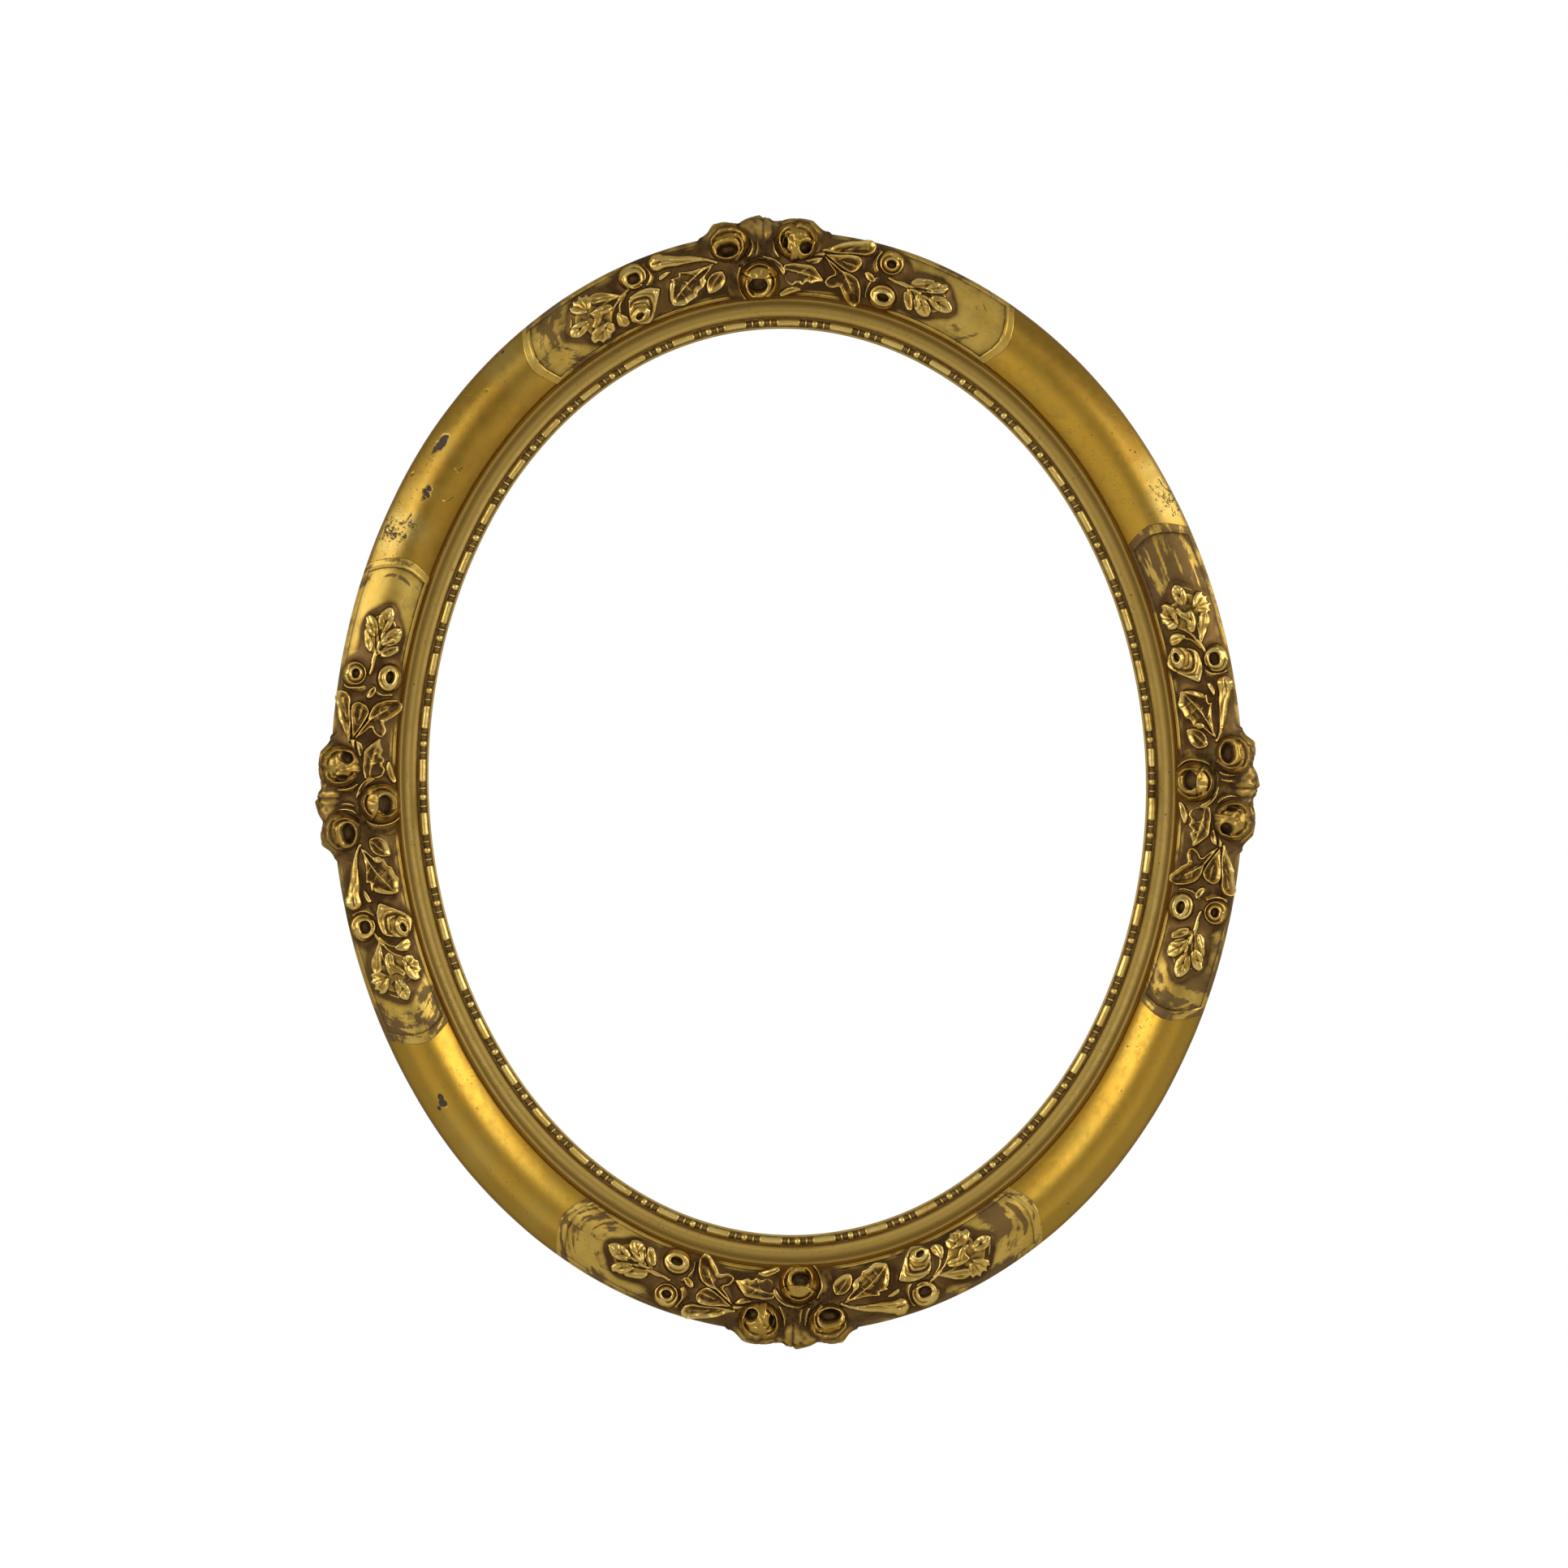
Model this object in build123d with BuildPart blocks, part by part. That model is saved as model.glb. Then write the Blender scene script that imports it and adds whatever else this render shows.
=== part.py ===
from build123d import *
import math
import os

os.makedirs("parts", exist_ok=True)

# Oval picture frame. Millimetres, +Z up (the long axis of the oval), the front
# faces -Y. The origin is the centre of the oval on the wooden back face, so the
# wall side is +Y. d is the distance outwards from the sight edge, h the height
# towards the front from the back face.

# ---- sight opening and moulding section -------------------------------------
SIGHT_W = 382.0          # clear opening across, X
SIGHT_H = 483.0          # clear opening up, Z
MOULD_W = 50.4           # width of the moulding, sight edge to outer wall
RABBET_W = 10.5          # width of the ledge that the glass or picture rests on
LEDGE_H = 9.5            # ledge, above the back face
GLUE_H = 9.0             # glue plane between the rear and the front layer
LIP_H = 14.5             # flat seat of the bead strip
LIP_W = 5.8              # width of that seat
TORUS_R = 20.6           # the broad round
TORUS_D = 34.1           # its centre, from the sight edge
TORUS_H = 13.6           # its centre, above the back face

# ---- rear layer --------------------------------------------------------------
REAR_IN = 10.8
REAR_OUT = 49.6
REAR_CHAMFER = 1.6

# ---- joinery -----------------------------------------------------------------
DOWEL_R = 4.0
DOWEL_L = 36.0
DOWEL_D = (27.0, 41.5)   # the two dowels of a front joint
DOWEL_H = 17.0
HOLE_GAP = 0.05
TONGUE = (30.0, 24.0, 3.2)   # loose tongue: along the rail, across it, thick
TONGUE_D = 31.0

# ---- applied bead strip ------------------------------------------------------
BEAD_D0, BEAD_D1 = 0.5, 5.4
BEAD_TOP = 17.7
BEAD_JOINT = 1.5         # degrees past the axis, where the strip's joint shows

# ---- applied ornament --------------------------------------------------------
SHELL_GAP = 0.1
SHELL_T = 1.2
LEAF_T = 3.3
LEAF_IN = 1.9            # the leaves lie this much further in than their outlines say
SHELL_EDGE = 41.9        # the shell's outer edge, in degrees round the broad round
SHELL_IN = 143.5         # its inner edge
MID_D = 25.9             # line along which the ornament's length is measured
# axis in degrees, then the rose's, the left end's and the right end's place
# along the moulding, clockwise as seen from the front
ORNAMENTS = {
    "ornament_top": (90.0, -7.8, -138.0, 130.5),
    "ornament_right": (0.0, 5.7, -131.8, 132.5),
    "ornament_bottom": (270.0, 0.7, -131.8, 133.0),
    "ornament_left": (180.0, -5.7, -133.8, 124.8),
}
# place from the lower rose, distance from the sight edge, height, radius, hole
ROSES = [
    (-13.5, 43.4, 33.0, 11.3, 4.8, (-0.25, -0.45, 0.86)),
    (19.8, 43.6, 33.0, 11.0, 4.0, (0.45, -0.10, 0.88)),
    (0.0, 24.4, 33.4, 11.7, 4.6, (0.08, -0.45, 0.88)),
]
BUDS = [
    (-62.5, 40.3, 33.0, 7.4, 3.4, (0.0, 0.12, 0.99)),
    (66.5, 40.7, 32.6, 7.1, 3.0, (0.0, 0.15, 0.98)),
    (67.6, 23.0, 31.6, 7.4, 3.4, (0.0, -0.35, 0.93)),
]
KNOB = (1.8, 50.8, 26.5, 7.8)
LONG_BUD = ((-55.0, 45.2, 30.6), (-27.5, 37.6, 34.6), 4.8, 1.3)
TULIP = ((-73.0, 22.3, 29.2), (-57.0, 28.0, 33.4), 5.6, 1.2)

# ---- hardware on the back ----------------------------------------------------
PLATE_T = 1.19
PLATE_W = 14.0
HINGE_Z = SIGHT_H / 2 + 33.0
HINGE_Y = 2.5
WIRE_R = 1.25
KNUCKLE_R = 2.5
KNUCKLE_GAP = 0.06
KNUCKLE_W = 11.0
PLATE_BOTTOM = HINGE_Z - 21.0
HANGER_SCREW_Z = HINGE_Z - 8.4
BUTTON_T = 1.2
BUTTON_D = 17.8
BUTTON_REACH = 15.0
BUTTON_R = 4.6
BUTTON_GAP = 0.1
SCREW_R = 1.85
SCREW_L = 8.4
BUTTON_HOLE_R = 1.92
BUTTON_AT = {
    "turn_button_upper_right": (28.0, 1),
    "turn_button_upper_left": (152.0, -1),
    "turn_button_lower_left": (208.0, 1),
    "turn_button_lower_right": (332.0, -1),
}

B = SIGHT_W / 2
A = SIGHT_H / 2

# ---- the sight edge ------------------------------------------------------------
# The ellipse is laid out as a maker would with compasses: tangent arcs, one of 30
# degrees across each axis and four of 15 degrees between, within a few hundredths
# of a millimetre of the ellipse. A place round the oval is given by the direction
# that its outward normal points in: 0 right, 90 up.


def ellipse_point(p):
    c, s = math.cos(math.radians(p)), math.sin(math.radians(p))
    k = math.hypot(B * c, A * s)
    return B * B * c / k, A * A * s / k


def unit(p):
    return math.cos(math.radians(p)), math.sin(math.radians(p))


ARCS = []                # centre x, centre z, radius, first and last direction
for p0 in range(-15, 345, 30):
    (x0, z0), (x1, z1) = ellipse_point(p0), ellipse_point(p0 + 30)
    (u0, w0), (um, wm), (u1, w1) = unit(p0), unit(p0 + 15), unit(p0 + 30)
    a11, a12, a21, a22 = u0 - um, um - u1, w0 - wm, wm - w1
    det = a11 * a22 - a12 * a21
    r0 = ((x0 - x1) * a22 - a12 * (z0 - z1)) / det
    r1 = (a11 * (z0 - z1) - (x0 - x1) * a21) / det
    if (p0 + 15) % 90 == 0:
        # across an axis the two arcs have one radius, so they are one arc
        r = (r0 + r1) / 2
        ARCS.append((x0 - r * u0, z0 - r * w0, r, p0, p0 + 30))
    else:
        ARCS.append((x0 - r0 * u0, z0 - r0 * w0, r0, p0, p0 + 15))
        ARCS.append((x1 - r1 * u1, z1 - r1 * w1, r1, p0 + 15, p0 + 30))


def whole(p):
    """The direction between -15 and 345."""
    q = (round(p, 6) + 15.0) % 360.0
    return -15.0 if q >= 359.9999995 else q - 15.0


def arc_of(p):
    q = whole(p)
    for arc in ARCS:
        if arc[3] <= q < arc[4]:
            return arc
    return ARCS[-1]


def at(p, d, h):
    """A point of the moulding: at direction p round the oval, d out, h forward."""
    cx, cz, r, _, _ = arc_of(p)
    c, s = unit(p)
    return Vector(cx + (r + d) * c, -h, cz + (r + d) * s)


def normal(p):
    c, s = unit(p)
    return Vector(c, 0, s)


def tangent(p):
    """Along the moulding, clockwise as seen from the front."""
    c, s = unit(p)
    return Vector(s, 0, -c)


def section(p):
    """The moulding's section plane: x is d, y is h."""
    return Plane(origin=at(p, 0, 0), x_dir=normal(p), z_dir=tangent(p))


def along(axis, s, d=MID_D):
    """The direction that lies s mm clockwise of axis, measured at d from the sight edge."""
    way = -1 if s > 0 else 1
    left, p = abs(s), axis + way * 2e-6
    while True:
        _, _, r, a0, a1 = arc_of(p)
        q = whole(p)
        room = (q - a0) if way < 0 else (a1 - q)
        step = math.radians(room) * (r + d)
        if step >= left:
            return p + way * math.degrees(left / (r + d))
        left -= step
        p += way * (room + 2e-6)


def carried(profile, p0, p1):
    """A section drawn as x = d, y = h, carried round the oval from direction p0 to p1."""
    with BuildPart() as body:
        p = p0
        while p < p1 - 1e-6:
            cx, cz, r, a0, a1 = arc_of(p + 2e-6)
            turn = min(p1 - p, a1 - whole(p + 2e-6) + 2e-6)
            if p1 - p - turn < 1e-5:
                turn = p1 - p
            c, s = unit(p)
            start = Plane(origin=(cx + r * c, 0, cz + r * s), x_dir=normal(p), z_dir=tangent(p))
            with BuildSketch(start) as sk:
                add(profile)
            revolve(profiles=sk.sketch, axis=Axis((cx, 0, cz), (0, -1, 0)), revolution_arc=turn)
            p += turn
    return body.part


def arc_h(d):
    return TORUS_H + math.sqrt(TORUS_R**2 - (d - TORUS_D) ** 2)


def on_torus(radius, deg):
    return (
        TORUS_D + radius * math.cos(math.radians(deg)),
        TORUS_H + radius * math.sin(math.radians(deg)),
    )


def band(r0, r1, a0, a1):
    """A strip of ring round the centre of the broad round."""
    with BuildSketch() as sk:
        with BuildLine():
            Line(on_torus(r0, a0), on_torus(r1, a0))
            ThreePointArc(on_torus(r1, a0), on_torus(r1, (a0 + a1) / 2), on_torus(r1, a1))
            Line(on_torus(r1, a1), on_torus(r0, a1))
            ThreePointArc(on_torus(r0, a1), on_torus(r0, (a0 + a1) / 2), on_torus(r0, a0))
        make_face()
    return sk.sketch


# ---- front layer: four quarters with their joints under the ornaments ---------
groove = 16.8
with BuildSketch() as front_profile:
    with BuildLine():
        Polyline((0, LEDGE_H), (0, LIP_H - 0.5), (0.4, LIP_H), (LIP_W, LIP_H), (6.0, 15.6))
        ThreePointArc((6.0, 15.6), (8.9, 15.2), (12.4, 17.4))
        Line((12.4, 17.4), (13.4, 22.0))
        ThreePointArc((13.4, 22.0), (14.5, 23.1), (15.6, 22.0))
        Polyline((15.6, 22.0), (16.2, 22.2), (groove, arc_h(groove)))
        ThreePointArc((groove, arc_h(groove)), (TORUS_D, TORUS_H + TORUS_R), (MOULD_W, arc_h(MOULD_W)))
        Polyline(
            (MOULD_W, arc_h(MOULD_W)),
            (MOULD_W, GLUE_H),
            (RABBET_W, GLUE_H),
            (RABBET_W, LEDGE_H),
            (0, LEDGE_H),
        )
    make_face()

for name, t0 in [
    ("front_rail_upper_right", 0.0),
    ("front_rail_upper_left", 90.0),
    ("front_rail_lower_left", 180.0),
    ("front_rail_lower_right", 270.0),
]:
    with BuildPart() as front_rail:
        add(carried(front_profile.sketch, t0, t0 + 90.0))
        # blind dowel holes in both ends
        for end in (t0, t0 + 90.0):
            for d in DOWEL_D:
                with Locations(Plane(origin=at(end, d, DOWEL_H), z_dir=tangent(end)).location):
                    Cylinder(DOWEL_R + HOLE_GAP, DOWEL_L + 2.0, mode=Mode.SUBTRACT)
    front_rail.part.label = name
    export_step(front_rail.part, f"parts/{name}.step")

# ---- rear layer: four rails, joints turned 45 degrees against the front layer --
with BuildSketch() as rear_profile:
    with BuildLine():
        Polyline(
            (REAR_IN, 0),
            (REAR_OUT - REAR_CHAMFER, 0),
            (REAR_OUT, REAR_CHAMFER),
            (REAR_OUT, GLUE_H),
            (REAR_IN, GLUE_H),
            (REAR_IN, 0),
        )
    make_face()

for name, t0, t1 in [
    ("rear_rail_right", -45.0, 45.0),
    ("rear_rail_top", 45.0, 135.0),
    ("rear_rail_left", 135.0, 225.0),
    ("rear_rail_bottom", 225.0, 315.0),
]:
    with BuildPart() as rear_rail:
        add(carried(rear_profile.sketch, t0, t1))
        for end in (t0, t1):
            seat = Plane(origin=at(end, TONGUE_D, GLUE_H / 2), x_dir=normal(end), z_dir=tangent(end))
            with Locations(seat.location):
                Box(TONGUE[1] + 0.1, TONGUE[2] + 0.1, TONGUE[0] + 1.0, mode=Mode.SUBTRACT)
        for t, _ in BUTTON_AT.values():
            turn = t if t < 315.0 else t - 360.0
            if t0 < turn < t1:
                p = at(turn, BUTTON_D, 0)
                with Locations(Location((p.X, -SCREW_L / 2, p.Z), (90, 0, 0))):
                    Cylinder(SCREW_R + HOLE_GAP, SCREW_L + 0.4, mode=Mode.SUBTRACT)
        if name == "rear_rail_top":
            with Locations(Location((0, -SCREW_L / 2, HANGER_SCREW_Z), (90, 0, 0))):
                Cylinder(SCREW_R + HOLE_GAP, SCREW_L + 0.4, mode=Mode.SUBTRACT)
    rear_rail.part.label = name
    export_step(rear_rail.part, f"parts/{name}.step")

# ---- dowels and loose tongues -------------------------------------------------
with BuildPart() as front_joint_dowels:
    for t in (0.0, 90.0, 180.0, 270.0):
        for d in DOWEL_D:
            with Locations(Plane(origin=at(t, d, DOWEL_H), z_dir=tangent(t)).location):
                Cylinder(DOWEL_R, DOWEL_L)
    chamfer(front_joint_dowels.edges().filter_by(GeomType.CIRCLE), 0.6)
front_joint_dowels.part.label = "front_joint_dowels"
export_step(front_joint_dowels.part, "parts/front_joint_dowels.step")

with BuildPart() as rear_joint_tongues:
    for t in (45.0, 135.0, 225.0, 315.0):
        seat = Plane(origin=at(t, TONGUE_D, GLUE_H / 2), x_dir=normal(t), z_dir=tangent(t))
        with Locations(seat.location):
            Box(TONGUE[1], TONGUE[2], TONGUE[0])
rear_joint_tongues.part.label = "rear_joint_tongues"
export_step(rear_joint_tongues.part, "parts/rear_joint_tongues.step")

# ---- bead strips: four lengths laid end to end on the lip ----------------------
base = LIP_H + 0.02
with BuildSketch() as bead_profile:
    with BuildLine():
        Polyline((BEAD_D0, base + 0.9), (BEAD_D0, base), (BEAD_D1, base), (BEAD_D1, base + 0.9))
        ThreePointArc((BEAD_D1, base + 0.9), ((BEAD_D0 + BEAD_D1) / 2, BEAD_TOP), (BEAD_D0, base + 0.9))
    make_face()

for name, t0 in [
    ("bead_strip_upper_right", BEAD_JOINT),
    ("bead_strip_upper_left", 90.0 + BEAD_JOINT),
    ("bead_strip_lower_left", 180.0 + BEAD_JOINT),
    ("bead_strip_lower_right", 270.0 + BEAD_JOINT),
]:
    with BuildPart() as bead_strip:
        add(carried(bead_profile.sketch, t0, t0 + 90.0))
    bead_strip.part.label = name
    export_step(bead_strip.part, f"parts/{name}.step")

# ---- ornaments: one casting, bent to each of the four curves -------------------
# leaf outlines, as (place from the lower rose, distance from the sight edge)
LEAVES = [
    # three-lobed leaf pair at the far left
    [(-74, 37), (-80, 41), (-84, 46), (-93, 48), (-97, 44), (-95, 41), (-101, 40), (-107, 36),
     (-104, 32.5), (-97, 33), (-100, 28), (-98, 23.5), (-90, 21.5), (-84, 24), (-83, 28), (-79, 33)],
    [(-75, 33), (-80, 30), (-80, 24), (-77, 21.5), (-73, 24), (-71.5, 29)],
    # serrated leaf under the long bud
    [(-20.5, 35.5), (-28, 37), (-34, 36.5), (-41, 35), (-43, 33), (-47, 32.5), (-51, 26), (-50, 23.5),
     (-43, 22), (-35, 25), (-29, 28), (-24, 32)],
    # small leaf beside it
    [(-18, 31), (-24, 31.5), (-30, 28), (-31, 22.5), (-25, 22.5), (-20, 25)],
    # small leaf right of the lower rose
    [(12, 33), (20, 34), (27, 31), (33, 25), (26, 22.5), (19, 21.5), (13, 25)],
    # upper and lower leaf of the right-hand pair
    [(22, 40), (33, 44), (44, 49), (54, 46), (52, 41), (49.5, 36), (42, 33.5), (32, 36)],
    [(26, 37), (34, 34), (42, 33), (51, 29), (55, 22), (51, 18.5), (45, 18.5), (38, 23), (32, 23),
     (30, 28)],
    # lobed leaf at the far right
    [(73, 33.5), (78, 39), (86, 43), (92, 42.5), (94, 38), (102, 35), (104.5, 32), (100, 28.5),
     (94, 29.5), (93, 24), (86, 21.5), (79, 25), (75, 29)],
]

for name, (axis, rose_s, end_a, end_b) in ORNAMENTS.items():
    # from the left end to the right end is clockwise, so the angle falls
    t_lo = along(axis, end_b + 4.0)
    t_hi = along(axis, end_a - 4.0)

    def place(s, d, h, axis=axis, rose_s=rose_s):
        return at(along(axis, rose_s + s), d, h)

    def ball(s, d, h, axis=axis, rose_s=rose_s):
        """A frame at that place, its z axis forward and its x axis along the moulding."""
        t = along(axis, rose_s + s)
        return Plane(origin=at(t, d, h), x_dir=tangent(t), z_dir=(0, -1, 0)).location

    def flat(s, d, axis=axis):
        p = at(along(axis, s), d, 0)
        return (p.X, p.Z)

    # thin shell with rounded ends that carries everything
    shell_band = carried(band(TORUS_R + SHELL_GAP, TORUS_R + SHELL_GAP + SHELL_T, SHELL_IN, SHELL_EDGE), t_lo, t_hi)
    with BuildPart() as shell:
        with BuildSketch(Plane.XZ.offset(8.0)):
            with BuildLine():
                steps = [end_a + 7.0 + (end_b - end_a - 18.0) * i / 12 for i in range(13)]
                inner = Spline([flat(s, 12.0) for s in steps])
                outer = Spline([flat(s, 57.0) for s in steps])
                Spline([inner @ 0, flat(end_a + 2.4, 22.0), flat(end_a, 32.0), flat(end_a + 3.4, 43.0),
                        flat(end_a + 8.5, 51.0), outer @ 0])
                Spline([inner @ 1, flat(end_b - 2.4, 22.0), flat(end_b, 32.0), flat(end_b - 3.4, 43.0),
                        flat(end_b - 8.5, 51.0), outer @ 1])
            make_face()
        extrude(amount=45.0)
        add(shell_band, mode=Mode.INTERSECT)

    # leaves: raised pads cut from a thicker shell
    leaf_band = carried(band(TORUS_R + 0.7, TORUS_R + SHELL_GAP + LEAF_T, SHELL_IN - 1.5, SHELL_EDGE + 1.5), t_lo, t_hi)
    with BuildPart() as leaves:
        for outline in LEAVES:
            points = [flat(rose_s + s, d - LEAF_IN) for s, d in outline]
            with BuildSketch(Plane.XZ.offset(8.0)):
                with BuildLine():
                    Spline(points, periodic=True)
                make_face()
            extrude(amount=45.0)
        add(leaf_band, mode=Mode.INTERSECT)

    # the round, a little swollen, that the flowers are hollowed over
    r = TORUS_R + 0.5
    with BuildSketch() as core_profile:
        with BuildLine():
            ThreePointArc(on_torus(r, 144.5), on_torus(r, 90.0), on_torus(r, 38.6))
            Polyline(on_torus(r, 38.6), (MOULD_W + 0.2, 5.0), (17.0, 5.0), on_torus(r, 144.5))
        make_face()
    core = carried(core_profile.sketch, t_lo, t_hi)

    with BuildPart() as flowers:
        for s, d, h, radius, _, _ in ROSES + BUDS:
            with Locations(ball(s, d, h)):
                Sphere(radius)
        s, d, h, radius = KNOB
        with Locations(ball(s, d, h)):
            Sphere(radius)
        for (s0, d0, h0), (s1, d1, h1), r0, r1 in (LONG_BUD, TULIP):
            p, q = place(s0, d0, h0), place(s1, d1, h1)
            with BuildSketch(Plane(origin=p, z_dir=q - p)):
                Circle(r0)
            with BuildSketch(Plane(origin=q, z_dir=q - p)):
                Circle(r1)
            loft()
        add(core, mode=Mode.SUBTRACT)
        # the open heart of each flower
        for s, d, h, radius, hole, (us, ud, uh) in ROSES + BUDS:
            t = along(axis, rose_s + s)
            way = (tangent(t) * us + normal(t) * ud + Vector(0, -1, 0) * uh).normalized()
            mouth = at(t, d, h) + way * radius
            with Locations(Plane(origin=mouth, z_dir=way).location):
                Cylinder(hole, radius * 1.1, mode=Mode.SUBTRACT)

    with BuildPart() as ornament:
        add(shell.part)
        for piece in leaves.part.solids() + flowers.part.solids():
            add(piece)
    ornament.part.label = name
    export_step(ornament.part, f"parts/{name}.step")

# ---- hanger: strap plate folded round the bar of a D ring ----------------------
with BuildPart() as hanger_plate:
    with BuildSketch(Plane.XZ):
        with Locations((0, (PLATE_BOTTOM + HINGE_Z) / 2)):
            Rectangle(PLATE_W, HINGE_Z - PLATE_BOTTOM)
    extrude(amount=-PLATE_T)
    fillet(hanger_plate.edges().filter_by(Axis.Y).sort_by(Axis.Z)[:2], 5.0)
    with Locations(Location((0, HINGE_Y, HINGE_Z), (0, 90, 0))):
        Cylinder(KNUCKLE_R, KNUCKLE_W)
    with Locations(Location((0, HINGE_Y, HINGE_Z), (0, 90, 0))):
        Cylinder(WIRE_R + KNUCKLE_GAP, PLATE_W + 4, mode=Mode.SUBTRACT)
    # shoulders beside the knuckle are cut back clear of the ring's corners
    for side in (-1, 1):
        with Locations((side * (KNUCKLE_W / 2 + 2.0), PLATE_T / 2, HINGE_Z)):
            Box(4.0, PLATE_T + 1.0, 7.6, mode=Mode.SUBTRACT)
    with Locations(Location((0, PLATE_T / 2, HANGER_SCREW_Z), (90, 0, 0))):
        Cylinder(SCREW_R + 0.15, PLATE_T * 3, mode=Mode.SUBTRACT)
hanger_plate.part.label = "hanger_plate"
export_step(hanger_plate.part, "parts/hanger_plate.step")

with BuildPart() as hanger_ring:
    with BuildLine(Plane(origin=(0, HINGE_Y, HINGE_Z), x_dir=(1, 0, 0), z_dir=(0, -1, 0))) as ring_path:
        Line((-6.0, 0), (6.0, 0))
        RadiusArc((6.0, 0), (8.5, -2.5), 2.5)
        Line((8.5, -2.5), (8.5, -6.0))
        ThreePointArc((8.5, -6.0), (0, -14.5), (-8.5, -6.0))
        Line((-8.5, -6.0), (-8.5, -2.5))
        RadiusArc((-8.5, -2.5), (-6.0, 0), 2.5)
    with BuildSketch(Plane(origin=(0, HINGE_Y, HINGE_Z), z_dir=(1, 0, 0))):
        Circle(WIRE_R)
    sweep(path=ring_path.wires()[0])
hanger_ring.part.label = "hanger_ring"
export_step(hanger_ring.part, "parts/hanger_ring.step")


def add_screw(x, z, under_head):
    """A slotted round-head wood screw, its head resting at y = under_head."""
    with Locations(Location((x, under_head - (SCREW_L + under_head) / 2 + 0.2, z), (90, 0, 0))):
        Cylinder(SCREW_R, SCREW_L + under_head + 0.4)
    head = Plane(origin=(x, under_head, z), x_dir=(1, 0, 0), z_dir=(0, 1, 0))
    with BuildSketch(head) as rim:
        Circle(3.3)
    extrude(rim.sketch, amount=0.4)
    with BuildSketch(head.offset(0.4)) as dome:
        Circle(3.3)
    extrude(dome.sketch, amount=0.9, taper=35)
    with Locations(head.offset(1.3).location):
        Box(8.0, 0.8, 1.4, mode=Mode.SUBTRACT)


with BuildPart() as hanger_screw:
    add_screw(0, HANGER_SCREW_Z, PLATE_T + 0.01)
hanger_screw.part.label = "hanger_screw"
export_step(hanger_screw.part, "parts/hanger_screw.step")

# ---- turn buttons: pivot on a screw, parked along the rail ----------------------
for name, (t, way) in BUTTON_AT.items():
    pivot = at(t, BUTTON_D, 0)
    x_dir = tangent(t) * way
    with BuildPart() as turn_button:
        face = Plane(origin=(pivot.X, BUTTON_GAP, pivot.Z), x_dir=x_dir, z_dir=(0, 1, 0))
        with BuildSketch(face):
            Circle(BUTTON_R)
            with Locations((BUTTON_REACH / 2, 0)):
                Rectangle(BUTTON_REACH, 2 * BUTTON_R - 2.0)
        extrude(amount=BUTTON_T)
        # turned-up finger tab at the free end
        with BuildSketch(face.offset(BUTTON_T)):
            with Locations((BUTTON_REACH - 0.6, 0)):
                Rectangle(1.2, 2 * BUTTON_R - 2.0)
        extrude(amount=2.2)
        with Locations(Location((pivot.X, BUTTON_GAP + BUTTON_T / 2, pivot.Z), (90, 0, 0))):
            Cylinder(BUTTON_HOLE_R, BUTTON_T * 3, mode=Mode.SUBTRACT)
    turn_button.part.label = name
    export_step(turn_button.part, f"parts/{name}.step")

with BuildPart() as turn_button_screws:
    for t, _ in BUTTON_AT.values():
        p = at(t, BUTTON_D, 0)
        add_screw(p.X, p.Z, 2 * BUTTON_GAP + BUTTON_T)
turn_button_screws.part.label = "turn_button_screws"
export_step(turn_button_screws.part, "parts/turn_button_screws.step")
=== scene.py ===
import math

import bpy
import numpy as np
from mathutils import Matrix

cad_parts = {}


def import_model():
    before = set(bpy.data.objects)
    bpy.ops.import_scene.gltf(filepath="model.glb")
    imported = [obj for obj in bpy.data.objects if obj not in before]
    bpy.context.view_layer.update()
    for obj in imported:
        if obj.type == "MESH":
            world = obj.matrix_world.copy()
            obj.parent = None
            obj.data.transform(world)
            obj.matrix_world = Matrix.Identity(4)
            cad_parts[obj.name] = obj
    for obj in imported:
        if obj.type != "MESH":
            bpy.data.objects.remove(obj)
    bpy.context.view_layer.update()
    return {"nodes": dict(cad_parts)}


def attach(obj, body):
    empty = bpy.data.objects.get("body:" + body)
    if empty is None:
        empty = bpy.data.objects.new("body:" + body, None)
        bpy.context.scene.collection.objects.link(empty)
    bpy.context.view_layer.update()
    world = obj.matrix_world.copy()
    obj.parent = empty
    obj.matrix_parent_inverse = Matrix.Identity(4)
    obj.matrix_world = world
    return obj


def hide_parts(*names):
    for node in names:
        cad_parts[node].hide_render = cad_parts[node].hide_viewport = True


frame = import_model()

# Oval picture frame. Lengths in this script are millimetres until place() turns
# them into metres. d runs outwards from the sight edge, h towards the front, s
# clockwise along the moulding.

SIGHT_W, SIGHT_H = 382.0, 483.0
B, A = SIGHT_W / 2, SIGHT_H / 2
TORUS_R, TORUS_D, TORUS_H = 20.6, 34.1, 13.6
MOULD_W = 50.4
MID_D = 25.9

# ---------------------------------------------------------------- the oval


def ellipse_point(p):
    c, s = math.cos(math.radians(p)), math.sin(math.radians(p))
    k = math.hypot(B * c, A * s)
    return B * B * c / k, A * A * s / k


def unit(p):
    return math.cos(math.radians(p)), math.sin(math.radians(p))


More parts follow.
